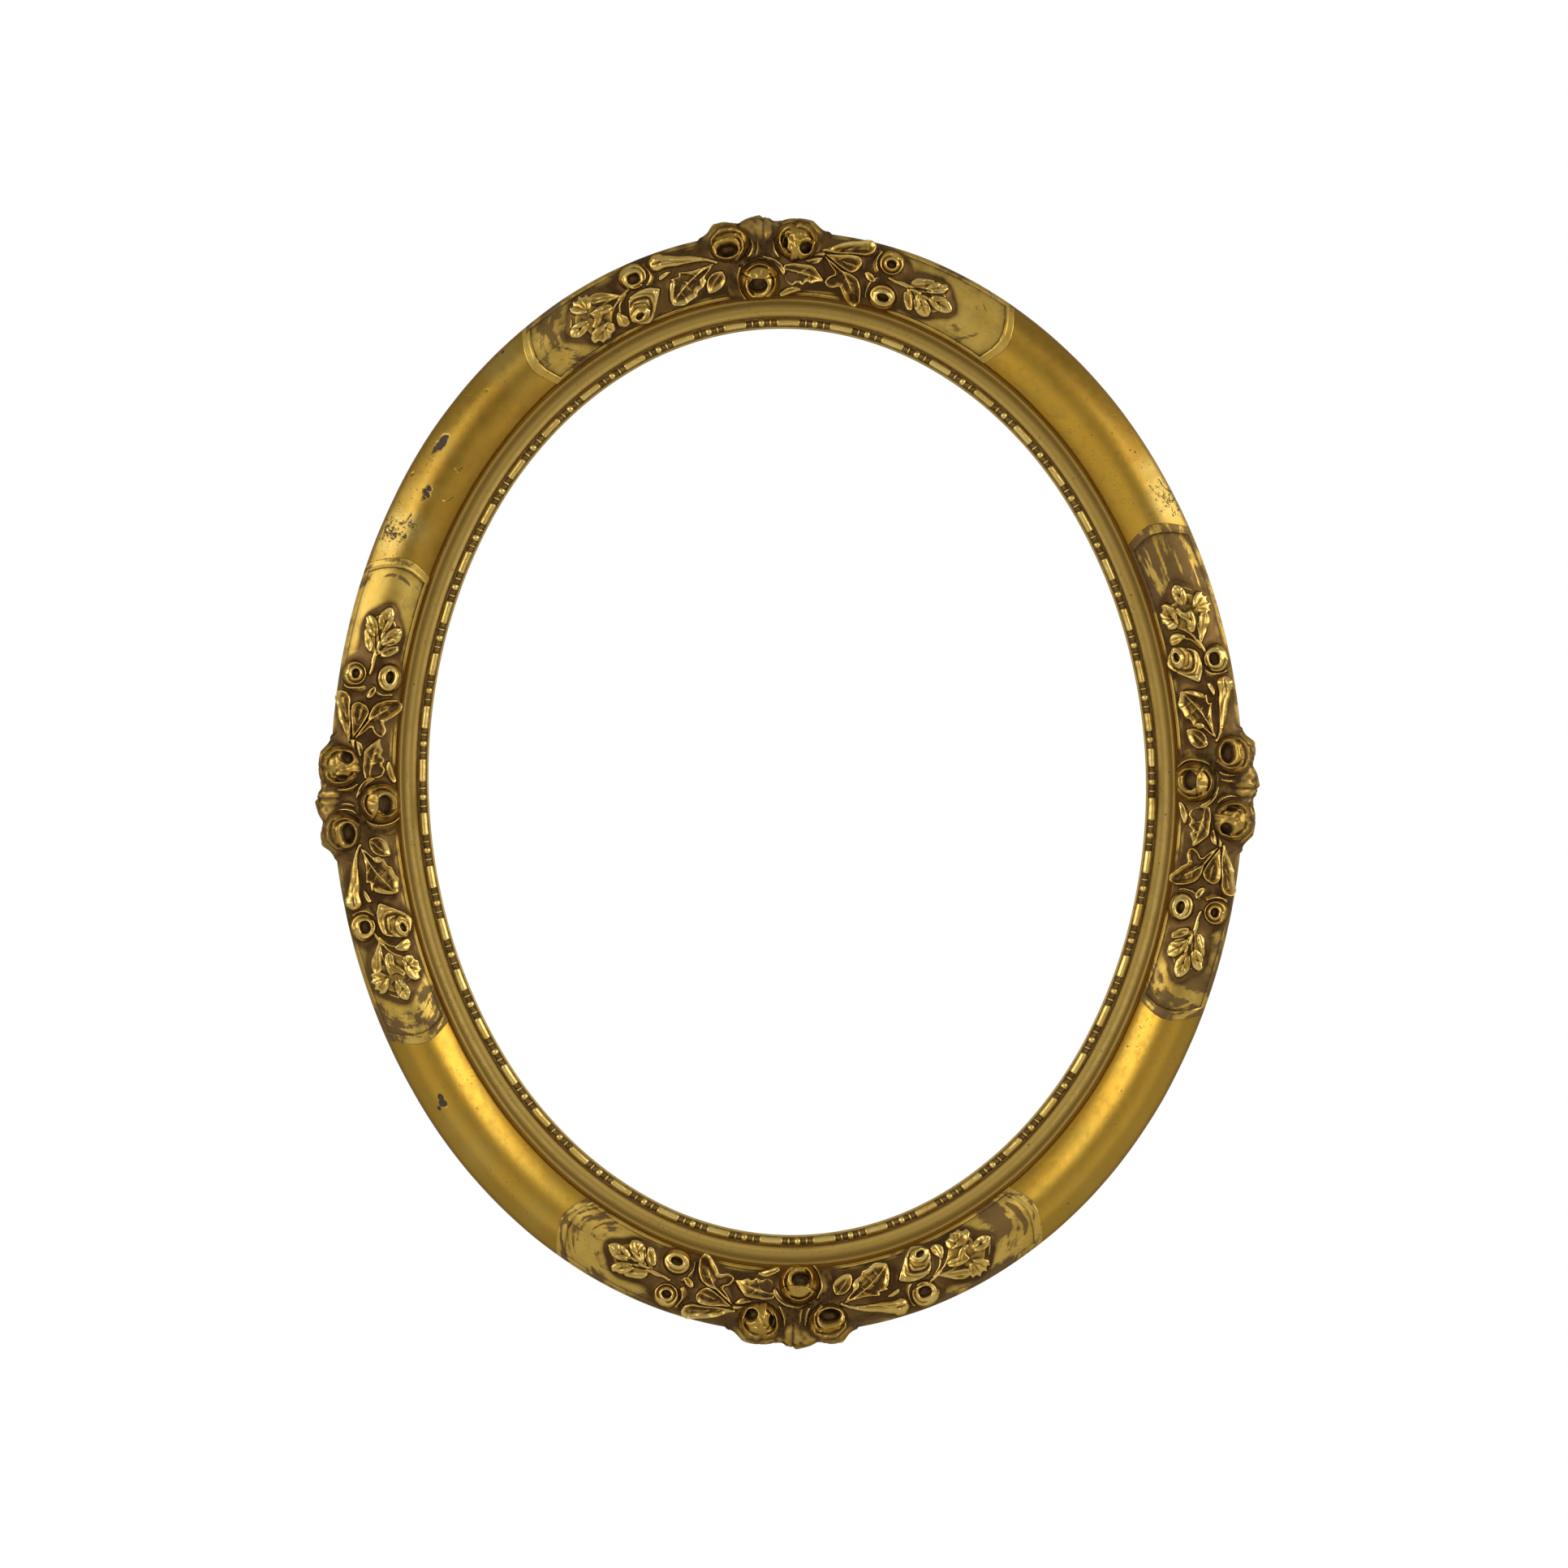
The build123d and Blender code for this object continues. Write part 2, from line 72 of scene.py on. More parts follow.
ARCS = []
for p0 in range(-15, 345, 30):
    (x0, z0), (x1, z1) = ellipse_point(p0), ellipse_point(p0 + 30)
    (u0, w0), (um, wm), (u1, w1) = unit(p0), unit(p0 + 15), unit(p0 + 30)
    a11, a12, a21, a22 = u0 - um, um - u1, w0 - wm, wm - w1
    det = a11 * a22 - a12 * a21
    r0 = ((x0 - x1) * a22 - a12 * (z0 - z1)) / det
    r1 = (a11 * (z0 - z1) - (x0 - x1) * a21) / det
    if (p0 + 15) % 90 == 0:
        r = (r0 + r1) / 2
        ARCS.append((x0 - r * u0, z0 - r * w0, r, p0, p0 + 30))
    else:
        ARCS.append((x0 - r0 * u0, z0 - r0 * w0, r0, p0, p0 + 15))
        ARCS.append((x1 - r1 * u1, z1 - r1 * w1, r1, p0 + 15, p0 + 30))
ARC = np.array(ARCS)


def place(p, d, h):
    """Points in metres at direction p (degrees), d out, h forward."""
    p, d, h = np.broadcast_arrays(np.asarray(p, float), np.asarray(d, float), np.asarray(h, float))
    q = (p + 15.0) % 360.0 - 15.0
    i = np.clip(np.searchsorted(ARC[:, 3], q + 1e-9, side="right") - 1, 0, len(ARC) - 1)
    c, s = np.cos(np.radians(p)), np.sin(np.radians(p))
    out = np.empty(p.shape + (3,))
    out[..., 0] = (ARC[i, 0] + (ARC[i, 2] + d) * c) / 1000
    out[..., 1] = -h / 1000
    out[..., 2] = (ARC[i, 1] + (ARC[i, 2] + d) * s) / 1000
    return out


def length_table(d):
    p = np.linspace(-360.0, 720.0, 43201)
    mid = (p[1:] + p[:-1]) / 2
    q = (mid + 15.0) % 360.0 - 15.0
    i = np.clip(np.searchsorted(ARC[:, 3], q, side="right") - 1, 0, len(ARC) - 1)
    run = np.concatenate([[0], np.cumsum((ARC[i, 2] + d) * np.radians(np.diff(p)))])
    return p, run


TABLES = {}


def along(axis, s, d=MID_D):
    """Direction lying s mm clockwise of axis, measured at d."""
    if d not in TABLES:
        TABLES[d] = length_table(d)
    p, run = TABLES[d]
    start = np.interp(axis, p, run)
    return np.interp(start - np.asarray(s, float), run, p)


def arc_s(p, d=MID_D):
    """Length from direction 90 round to p, clockwise positive, in mm."""
    if d not in TABLES:
        TABLES[d] = length_table(d)
    q, run = TABLES[d]
    return np.interp(90.0, q, run) - np.interp(p, q, run)


# ---------------------------------------------------------------- tools


def smooth(x, a=0.0, b=1.0):
    t = np.clip((x - a) / (b - a), 0.0, 1.0)
    return t * t * (3 - 2 * t)


def bell(x, w):
    return np.exp(-((x / w) ** 2))


def noise(x, y, scale, seed):
    """Smooth noise, about -1 to 1, in features of that size."""
    rng = np.random.default_rng(seed)
    g = rng.uniform(-1, 1, (97, 97))
    u, v = x / scale + 31.7, y / scale + 17.3
    i, j = np.floor(u).astype(int), np.floor(v).astype(int)
    fu, fv = u - i, v - j
    fu, fv = fu * fu * (3 - 2 * fu), fv * fv * (3 - 2 * fv)
    i0, i1, j0, j1 = i % 97, (i + 1) % 97, j % 97, (j + 1) % 97
    return (g[i0, j0] * (1 - fu) + g[i1, j0] * fu) * (1 - fv) + (g[i0, j1] * (1 - fu) + g[i1, j1] * fu) * fv


def fractal(x, y, scale, seed, octaves=3):
    out, gain = 0.0, 1.0
    for k in range(octaves):
        out = out + gain * noise(x, y, scale / 2**k, seed + 7 * k)
        gain *= 0.5
    return out / 1.5


def blur(field, sigma_u, sigma_v):
    """Gaussian blur along both axes, in cells."""
    for axis, sigma in ((0, sigma_u), (1, sigma_v)):
        n = int(3 * sigma) + 1
        k = np.exp(-0.5 * (np.arange(-n, n + 1) / sigma) ** 2)
        k /= k.sum()
        pad = [(0, 0), (0, 0)]
        pad[axis] = (n, n)
        big = np.pad(field, pad, mode="edge")
        out = np.zeros_like(field)
        for m, weight in enumerate(k):
            cut = [slice(None), slice(None)]
            cut[axis] = slice(m, m + field.shape[axis])
            out += weight * big[tuple(cut)]
        field = out
    return field


def make_mesh(name, verts, faces, attrs=None, sharp=None):
    """A mesh object from vertices in metres and faces as index lists or 2-D arrays."""
    starts, loops, at = [], [], 0
    for block in faces:
        block = np.asarray(block)
        if block.ndim == 2:
            n = block.shape[1]
            starts.append(at + n * np.arange(len(block)))
            loops.append(block.ravel())
            at += block.size
        else:
            starts.append(np.array([at]))
            loops.append(block)
            at += block.size
    starts, loops = np.concatenate(starts), np.concatenate(loops)
    # outward faces: turn them if the enclosed volume comes out negative
    ends = np.append(starts[1:], len(loops))
    volume = 0.0
    for n in np.unique(ends - starts):
        pick = starts[(ends - starts) == n]
        first = verts[loops[pick]]
        for k in range(1, n - 1):
            volume += np.einsum("ij,ij->i", first, np.cross(verts[loops[pick + k]], verts[loops[pick + k + 1]])).sum()
    if volume < 0:
        turned = loops.copy()
        for n in np.unique(ends - starts):
            pick = starts[(ends - starts) == n]
            for k in range(n):
                turned[pick + k] = loops[pick + n - 1 - k]
        loops = turned
    me = bpy.data.meshes.new(name)
    me.vertices.add(len(verts))
    me.vertices.foreach_set("co", np.ascontiguousarray(verts, np.float32).ravel())
    me.loops.add(len(loops))
    me.loops.foreach_set("vertex_index", loops.astype(np.int32))
    me.polygons.add(len(starts))
    me.polygons.foreach_set("loop_start", starts.astype(np.int32))
    me.polygons.foreach_set("use_smooth", np.ones(len(starts), bool))
    me.update(calc_edges=True)
    for key, values in (attrs or {}).items():
        made = me.attributes.new(key, "FLOAT", "POINT")
        made.data.foreach_set("value", np.ascontiguousarray(values, np.float32).ravel())
    if sharp:
        me.set_sharp_from_angle(angle=math.radians(sharp))
    ob = bpy.data.objects.new(name, me)
    bpy.context.scene.collection.objects.link(ob)
    return ob


# ---------------------------------------------------------------- materials


class Graph:
    """Short hand for a material's node tree."""

    def __init__(self, name):
        self.mat = bpy.data.materials.new(name)
        self.mat.use_nodes = True
        self.tree = self.mat.node_tree
        self.tree.nodes.clear()
        self.out = self.node("ShaderNodeOutputMaterial")
        self.bsdf = self.node("ShaderNodeBsdfPrincipled")
        self.link(self.bsdf.outputs[0], self.out.inputs[0])
        self.coord = self.node("ShaderNodeTexCoord").outputs["Object"]

    def node(self, kind, **props):
        n = self.tree.nodes.new(kind)
        for k, v in props.items():
            setattr(n, k, v)
        return n

    def link(self, a, b):
        self.tree.links.new(a, b)

    def put(self, socket, value):
        if hasattr(value, "is_output"):
            self.link(value, socket)
        else:
            socket.default_value = value

    def attr(self, name):
        return self.node("ShaderNodeAttribute", attribute_name=name).outputs["Fac"]

    def mathop(self, op, a, b=None, c=None, clamp=False):
        n = self.node("ShaderNodeMath", operation=op, use_clamp=clamp)
        self.put(n.inputs[0], a)
        if b is not None:
            self.put(n.inputs[1], b)
        if c is not None:
            self.put(n.inputs[2], c)
        return n.outputs[0]

    def add(self, a, b):
        return self.mathop("ADD", a, b)

    def mul(self, a, b):
        return self.mathop("MULTIPLY", a, b)

    def ramp(self, x, lo, hi, out_lo=0.0, out_hi=1.0, soft=True):
        n = self.node("ShaderNodeMapRange", interpolation_type="SMOOTHSTEP" if soft else "LINEAR", clamp=True)
        self.put(n.inputs["Value"], x)
        for key, v in (("From Min", lo), ("From Max", hi), ("To Min", out_lo), ("To Max", out_hi)):
            self.put(n.inputs[key], v)
        return n.outputs["Result"]

    def noise(self, scale, detail=4.0, rough=0.55, coord=None, distortion=0.0, stretch=None):
        n = self.node("ShaderNodeTexNoise")
        src = coord if coord is not None else self.coord
        if stretch is not None:
            m = self.node("ShaderNodeMapping")
            self.link(src, m.inputs["Vector"])
            m.inputs["Scale"].default_value = stretch
            src = m.outputs[0]
        self.link(src, n.inputs["Vector"])
        n.inputs["Scale"].default_value = scale
        n.inputs["Detail"].default_value = detail
        n.inputs["Roughness"].default_value = rough
        n.inputs["Distortion"].default_value = distortion
        return n.outputs["Fac"]

    def voronoi(self, scale, feature="F1", coord=None, randomness=1.0):
        n = self.node("ShaderNodeTexVoronoi", feature=feature)
        self.link(coord if coord is not None else self.coord, n.inputs["Vector"])
        n.inputs["Scale"].default_value = scale
        n.inputs["Randomness"].default_value = randomness
        return n.outputs["Distance"]

    def combine(self, x, y, z):
        n = self.node("ShaderNodeCombineXYZ")
        for k, v in enumerate((x, y, z)):
            self.put(n.inputs[k], v)
        return n.outputs[0]

    def mix(self, fac, a, b, blend="MIX"):
        n = self.node("ShaderNodeMix", data_type="RGBA", blend_type=blend, clamp_factor=True)
        self.put(n.inputs[0], fac)
        for key, v in ((6, a), (7, b)):
            if hasattr(v, "is_output"):
                self.link(v, n.inputs[key])
            else:
                n.inputs[key].default_value = (*v, 1.0)
        return n.outputs[2]

    def mixf(self, fac, a, b):
        n = self.node("ShaderNodeMix", data_type="FLOAT", clamp_factor=True)
        self.put(n.inputs[0], fac)
        self.put(n.inputs[2], a)
        self.put(n.inputs[3], b)
        return n.outputs[0]

    def bump(self, height, strength=1.0, distance=0.0002, normal=None):
        n = self.node("ShaderNodeBump")
        self.put(n.inputs["Height"], height)
        n.inputs["Strength"].default_value = strength
        n.inputs["Distance"].default_value = distance
        if normal is not None:
            self.link(normal, n.inputs["Normal"])
        return n.outputs[0]

    def finish(self, color, rough, metal, normal=None, coat=None, spec=None, tint=None):
        if hasattr(color, "is_output"):
            self.link(color, self.bsdf.inputs["Base Color"])
        else:
            self.bsdf.inputs["Base Color"].default_value = (*color, 1.0)
        self.put(self.bsdf.inputs["Roughness"], rough)
        self.put(self.bsdf.inputs["Metallic"], metal)
        if normal is not None:
            self.link(normal, self.bsdf.inputs["Normal"])
        if coat:
            self.bsdf.inputs["Coat Weight"].default_value = coat[0]
            self.bsdf.inputs["Coat Roughness"].default_value = coat[1]
        if tint is not None:
            self.bsdf.inputs["Specular Tint"].default_value = (*tint, 1.0)
        if spec is not None:
            self.bsdf.inputs["Specular IOR Level"].default_value = spec
        return self.mat


# burnished bronze gilding of the half-round, the cove and the fillet
GLAZE = (0.034, 0.017, 0.007)
UMBER = (0.090, 0.047, 0.018)


def gilt_moulding():
    g = Graph("gilt_moulding")
    d, s = g.attr("across"), g.attr("length")
    along_v = g.combine(g.mul(s, 0.004), g.mul(d, 0.03), 0.0)
    streak = g.noise(7.0, 3.0, 0.5, coord=along_v)
    patch = g.noise(14.0, 4.0, 0.6, distortion=0.4)
    fine = g.noise(240.0, 5.0, 0.65)
    mid = g.noise(60.0, 4.0, 0.6)
    # clear gold, greenish where the bronze has darkened, orange where it is thin
    gold = g.mix(g.ramp(patch, 0.38, 0.64), (0.65, 0.378, 0.038), (0.57, 0.348, 0.040))
    gold = g.mix(g.mul(g.ramp(streak, 0.44, 0.62), 0.7), gold, (0.67, 0.360, 0.034))
    gold = g.mix(g.mul(g.ramp(mid, 0.48, 0.66), 0.42), gold, (0.47, 0.280, 0.040))
    gold = g.mix(g.mul(g.ramp(fine, 0.52, 0.66), 0.28), gold, (0.40, 0.225, 0.030))
    # greener, duller belt on the crown of the half-round
    belt = g.ramp(d, 27.0, 33.0)
    gold = g.mix(g.mul(belt, 0.6), gold, (0.52, 0.300, 0.036))
    # darker and browner towards the outer side of the round
    gold = g.mix(g.mul(g.ramp(d, 38.5, 43.0), 0.80), gold, (0.355, 0.205, 0.025))
    # painted shade: darker brown on parts of the two upper rails
    gold = g.mix(g.mul(g.attr("painted_shade"), 0.62), gold, (0.300, 0.150, 0.014))
    gold = g.mix(g.ramp(g.attr("worn"), 0.05, 0.40, 0.0, 0.75), gold, (0.50, 0.350, 0.085))
    # cove and seat: paler, dustier
    cove = g.ramp(d, 16.6, 15.4)
    gold = g.mix(g.mul(cove, 0.85), gold, g.mix(g.ramp(d, 7.6, 9.2), (0.60, 0.408, 0.104), (0.39, 0.262, 0.062)))
    # dark reddish glaze in the groove between the fillet and the round; painted shade on the cove's steep rise, a
    # painted shadow on the ledge beside the beads, and the fillet and the outer edge of the round made a little darker
    wob = g.mul(g.add(mid, -0.5), 1.1)
    dw = g.add(d, wob)
    groove_out = g.mul(g.ramp(dw, 15.2, 15.7), g.ramp(dw, 16.2, 15.7))
    # painted shade on the cove's steep rise below the fillet
    cove_rise_shade = g.mul(g.ramp(dw, 10.3, 11.9), g.ramp(dw, 13.9, 13.2))
    # painted shadow of the bead strip on the ledge beside it
    seat = g.mul(g.ramp(d, 7.1, 5.9), g.ramp(d, 4.6, 5.0))
    dark = g.mathop("MAXIMUM", g.mul(groove_out, 0.50), g.mul(cove_rise_shade, 0.36))
    fillet = g.mul(g.ramp(dw, 13.4, 14.2), g.ramp(dw, 16.0, 15.2))
    dark = g.mathop("MAXIMUM", dark, g.mul(fillet, 0.30))
    dark = g.mathop("MAXIMUM", dark, g.mul(seat, 0.6))
    # dark colour for the glaze and the painted shade, greener on the cove's rise
    brown = g.mix(cove_rise_shade, (0.150, 0.070, 0.020), (0.150, 0.105, 0.030))
    edge = g.ramp(dw, 47.8, 50.0)
    dark = g.mathop("MAXIMUM", dark, g.mul(edge, 0.62))
    # specks where the leaf has come off to the bole
    speck = g.ramp(g.voronoi(420.0), 0.16, 0.10)
    where = g.ramp(g.noise(22.0, 3.0, 0.6), 0.44, 0.60)
    speck = g.mul(speck, where)
    pits = g.mul(g.ramp(g.voronoi(150.0), 0.10, 0.05), g.ramp(g.noise(31.0, 2.0), 0.50, 0.58))
    lost = g.mathop("MAXIMUM", g.mul(speck, 0.75), g.mul(pits, 0.85))
    worn = g.attr("worn")
    scatter = g.ramp(g.add(worn, g.mul(g.add(g.noise(420.0, 4.0, 0.75), -0.5), 1.5)), 0.50, 0.60)
    chip = g.attr("chip")
    ragged = g.ramp(g.add(chip, g.mul(g.add(g.noise(520.0, 4.0, 0.7), -0.5), 0.9)), 0.44, 0.52)
    lost = g.mathop("MAXIMUM", lost, scatter)
    lost = g.mathop("MAXIMUM", lost, ragged)
    red = g.mix(g.ramp(mid, 0.4, 0.6), (0.105, 0.050, 0.022), (0.075, 0.045, 0.030))
    color = g.mix(dark, gold, brown)
    color = g.mix(lost, color, g.mix(ragged, red, (0.060, 0.040, 0.030)))
    off = g.mathop("MAXIMUM", dark, lost)
    metal = g.mul(g.ramp(off, 0.2, 1.0, 1.0, 0.35), g.ramp(cove, 0.0, 1.0, 1.0, 0.66))
    rough = g.add(g.ramp(fine, 0.3, 0.7, 0.27, 0.36), g.mul(off, 0.2))
    rough = g.add(rough, g.mul(cove, 0.17))
    tool = g.noise(9.0, 4.0, 0.6, coord=g.combine(g.mul(s, 0.06), g.mul(d, 0.9), 0.0))
    height = g.add(g.mul(fine, 0.25), g.add(g.mul(mid, 0.5), g.mul(tool, 0.22)))
    height = g.add(height, g.mul(lost, -0.8))
    return g.finish(color, rough, metal, g.bump(height, 0.75, 0.0002), coat=(0.20, 0.27), tint=(0.82, 0.60, 0.26))


def gilt_ornament():
    """Cast composition, bronzed, toned with brown glaze and rubbed on the high parts."""
    g = Graph("gilt_ornament")
    cav, motif, glaze, dust = (g.attr(k) for k in ("cavity", "motif", "glaze", "dust"))
    n1 = g.noise(150.0, 5.0, 0.65)
    n2 = g.noise(45.0, 4.0, 0.6, distortion=0.6)
    n3 = g.noise(420.0, 4.0, 0.7)
    # rubbing: bright on edges and domes, glaze left in the hollows; the cavity value also carries painted shade in the
    # deep recesses and in the holes of the flowers
    t = g.add(cav, g.add(g.mul(g.add(n1, -0.5), 0.30), g.mul(g.add(n2, -0.5), 0.30)))
    gold = g.mix(g.ramp(n2, 0.4, 0.62), (0.50, 0.312, 0.064), (0.44, 0.256, 0.045))
    bright = g.mix(g.ramp(n2, 0.4, 0.62), (0.75, 0.545, 0.175), (0.70, 0.470, 0.125))
    dull = g.mix(g.ramp(n1, 0.4, 0.6), (0.33, 0.195, 0.045), (0.24, 0.135, 0.030))
    deep = g.mix(g.ramp(n3, 0.4, 0.6), (0.060, 0.031, 0.011), (0.110, 0.062, 0.020))
    color = g.mix(g.ramp(t, -0.95, -0.45), deep, dull)
    color = g.mix(g.ramp(t, -0.42, 0.02), color, gold)
    color = g.mix(g.ramp(t, 0.16, 0.55), color, bright)
    rub = g.ramp(t, -0.55, 0.05)
    # brown glaze lies on the ground round the leaves and flowers
    pool = g.ramp(g.add(glaze, g.mul(g.add(n1, -0.5), 0.5)), 0.22, 0.72)
    low = g.mix(g.ramp(n2, 0.4, 0.62), (0.170, 0.092, 0.028), (0.080, 0.040, 0.013))
    # flat field at the ends: worn bronze paint, brushed and stained
    pale = g.mix(g.ramp(g.noise(70.0, 5.0, 0.65), 0.35, 0.7), (0.66, 0.443, 0.095), (0.57, 0.357, 0.066))
    s, d = g.attr("run"), g.attr("across")
    brush = g.noise(1.0, 4.0, 0.65, coord=g.combine(g.mul(s, 0.16), g.mul(d, 0.55), 3.0), distortion=1.4)
    pale = g.mix(g.mul(g.ramp(brush, 0.50, 0.70), 0.42), pale, (0.36, 0.24, 0.070))
    stain = g.attr("stain")
    stained = g.ramp(g.add(g.add(stain, g.mul(g.add(g.noise(190.0, 5.0, 0.7), -0.5), 0.45)), g.mul(g.add(brush, -0.5), 0.9)), 0.34, 0.72)
    pale = g.mix(g.mul(stained, 0.90), pale, g.mix(g.ramp(n2, 0.42, 0.6), (0.170, 0.100, 0.037), (0.125, 0.068, 0.034)))
    pale = g.mix(g.ramp(t, -0.22, -0.60), pale, deep)
    ground = g.mix(pool, pale, low)
    color = g.mix(motif, ground, color)
    # grey dust on what faces outwards
    grey = g.mul(dust, g.ramp(g.add(n1, g.mul(n2, 0.6)), 0.62, 0.95, 0.25, 1.0))
    color = g.mix(g.mul(grey, 0.62), color, (0.24, 0.165, 0.075))
    speck = g.mul(g.ramp(g.voronoi(360.0), 0.14, 0.08), g.ramp(g.noise(26.0, 3.0, 0.6), 0.50, 0.64))
    color = g.mix(g.mul(speck, 0.7), color, (0.07, 0.04, 0.018))
    lit = g.mixf(motif, g.ramp(g.mathop("MAXIMUM", pool, g.mul(stained, 0.8)), 0.0, 1.0, 0.95, 0.80), g.ramp(rub, 0.0, 0.8, 0.75, 1.0))
    metal = g.mul(lit, g.ramp(grey, 0.0, 1.0, 1.0, 0.5))
    rough = g.mixf(motif, g.ramp(stained, 0.0, 1.0, 0.42, 0.55), g.ramp(t, -0.5, 0.4, 0.46, 0.27))
    rough = g.add(rough, g.add(g.mul(grey, 0.2), g.mul(g.add(n3, -0.5), 0.10)))
    height = g.add(g.mul(n3, 0.35), g.mul(n1, 0.8))
    return g.finish(color, rough, metal, g.bump(height, 0.5, 0.00022), tint=(0.50, 0.32, 0.12), spec=0.3)


def gilt_beads():
    g = Graph("gilt_beads")
    rise, cav = g.attr("rise"), g.attr("cavity")
    n1 = g.noise(260.0, 4.0, 0.6)
    n2 = g.noise(50.0, 3.0, 0.6)
    t = g.add(g.add(rise, g.mul(g.add(n1, -0.5), 0.40)), cav)
    gold = g.mix(g.ramp(n2, 0.4, 0.62), (0.84, 0.62, 0.19), (0.74, 0.50, 0.13))
    deep = g.mix(g.ramp(n1, 0.4, 0.6), (0.150, 0.088, 0.024), (0.235, 0.145, 0.045))
    rub = g.ramp(t, 0.30, 0.95)
    color = g.mix(rub, deep, gold)
    speck = g.mul(g.ramp(g.voronoi(500.0), 0.16, 0.10), g.ramp(n2, 0.48, 0.62))
    color = g.mix(g.mul(speck, 0.7), color, (0.09, 0.055, 0.022))
    metal = g.ramp(rub, 0.0, 0.9, 0.75, 1.0)
    rough = g.ramp(rub, 0.0, 1.0, 0.5, 0.34)
    return g.finish(color, rough, metal, g.bump(g.add(n1, g.mul(n2, 0.6)), 0.5, 0.0002), tint=(0.7, 0.48, 0.2), spec=0.3)


def wood(name, stretch, tones, ring=1.0, dirt=0.6):
    """Old pale softwood: long grain, late-wood lines, soot and scuffs."""
    g = Graph(name)
    grain = g.noise(9.0, 6.0, 0.6, stretch=stretch, distortion=0.3)
    fibre = g.noise(60.0, 5.0, 0.7, stretch=stretch)
    m = g.node("ShaderNodeMapping")
    g.link(g.coord, m.inputs["Vector"])
    m.inputs["Scale"].default_value = stretch
    wave = g.node("ShaderNodeTexWave", wave_type="BANDS", bands_direction="DIAGONAL")
    g.link(m.outputs[0], wave.inputs["Vector"])
    wave.inputs["Scale"].default_value = 26.0 * ring
    wave.inputs["Distortion"].default_value = 5.0
    wave.inputs["Detail"].default_value = 3.0
    late = g.ramp(wave.outputs["Fac"], 0.55, 0.95)
    color = g.mix(g.ramp(grain, 0.35, 0.65), tones[0], tones[1])
    color = g.mix(g.mul(late, 0.45), color, tones[2])
    color = g.mix(g.mul(g.ramp(fibre, 0.5, 0.75), 0.35), color, tones[2])
    grime = g.ramp(g.noise(11.0, 5.0, 0.65), 0.48, 0.72)
    color = g.mix(g.mul(grime, dirt), color, (0.060, 0.036, 0.020))
    knot = g.mul(g.ramp(g.voronoi(9.0), 0.09, 0.03), 0.8)
    color = g.mix(knot, color, (0.07, 0.032, 0.014))
    height = g.add(g.mul(fibre, 0.6), g.mul(late, -0.3))
    return g.finish(color, g.ramp(fibre, 0.3, 0.7, 0.62, 0.82), 0.0, g.bump(height, 0.6, 0.0003), spec=0.3)


def brass(name, tone, tarnish, age=0.5, rough=0.32):
    g = Graph(name)
    big = g.noise(120.0, 4.0, 0.6)
    fine = g.noise(900.0, 4.0, 0.7)
    scratch = g.noise(500.0, 3.0, 0.6, stretch=(1.0, 1.0, 0.08))
    age_mask = g.ramp(g.add(big, g.mul(fine, 0.3)), 0.52, 0.86)
    color = g.mix(g.mul(age_mask, age), tone, tarnish)
    color = g.mix(g.mul(g.ramp(scratch, 0.58, 0.75), 0.35), color, tone)
    r = g.add(g.ramp(fine, 0.3, 0.7, rough, rough + 0.1), g.mul(age_mask, 0.22))
    return g.finish(color, r, g.ramp(age_mask, 0.0, 1.0, 1.0, 0.75), g.bump(g.add(scratch, fine), 0.35, 0.00008))


MOULDING, ORNAMENT, BEADS = gilt_moulding(), gilt_ornament(), gilt_beads()
PINE = ((0.33, 0.205, 0.105), (0.265, 0.155, 0.075), (0.15, 0.078, 0.035))
WOOD_X = wood("back_wood_x", (1.0, 6.0, 11.0), PINE)
WOOD_Z = wood("back_wood_z", (11.0, 6.0, 1.0), PINE)
BEECH = wood("dowel_beech", (5.0, 5.0, 5.0), ((0.45, 0.29, 0.17), (0.39, 0.24, 0.13), (0.27, 0.15, 0.08)), 0.6, 0.2)
BRASS = brass("aged_brass", (0.66, 0.44, 0.17), (0.16, 0.095, 0.04))
BRASS_DARK = brass("button_brass", (0.55, 0.36, 0.14), (0.12, 0.075, 0.035), 0.75, 0.38)
STEEL = brass("screw_steel", (0.42, 0.40, 0.38), (0.13, 0.07, 0.04), 0.7, 0.36)


def paint(node, mat):
    ob = frame["nodes"][node]
    if not ob.material_slots:
        ob.data.materials.append(mat)
    for slot in ob.material_slots:
        slot.material = mat


for side, mat in (("top", WOOD_X), ("bottom", WOOD_X), ("left", WOOD_Z), ("right", WOOD_Z)):
    paint(f"rear_rail_{side}", mat)
paint("front_joint_dowels", BEECH)
paint("rear_joint_tongues", BEECH)
paint("hanger_plate", BRASS)
paint("hanger_ring", BRASS)
paint("hanger_screw", STEEL)
paint("turn_button_screws", STEEL)
for corner in ("upper_right", "upper_left", "lower_left", "lower_right"):
    paint(f"turn_button_{corner}", BRASS_DARK)

# ---------------------------------------------------------------- the moulding


def arc_points(a, m, b, n):
    """Points on the circle through a, m and b, from a to b."""
    (ax, ay), (bx, by), (cx, cy) = a, m, b
    k = 2 * (ax * (by - cy) + bx * (cy - ay) + cx * (ay - by))
    ux = ((ax * ax + ay * ay) * (by - cy) + (bx * bx + by * by) * (cy - ay) + (cx * cx + cy * cy) * (ay - by)) / k
    uy = ((ax * ax + ay * ay) * (cx - bx) + (bx * bx + by * by) * (ax - cx) + (cx * cx + cy * cy) * (bx - ax)) / k
    r = math.hypot(ax - ux, ay - uy)
    t0, tm, t1 = (math.atan2(y - uy, x - ux) for x, y in (a, m, b))
    turn = (t1 - t0) % (2 * math.pi)
    if (tm - t0) % (2 * math.pi) > turn:
        turn -= 2 * math.pi
    return [(ux + r * math.cos(t0 + turn * i / n), uy + r * math.sin(t0 + turn * i / n)) for i in range(n + 1)]


def line_points(a, b, n):
    return [(a[0] + (b[0] - a[0]) * i / n, a[1] + (b[1] - a[1]) * i / n) for i in range(n + 1)]


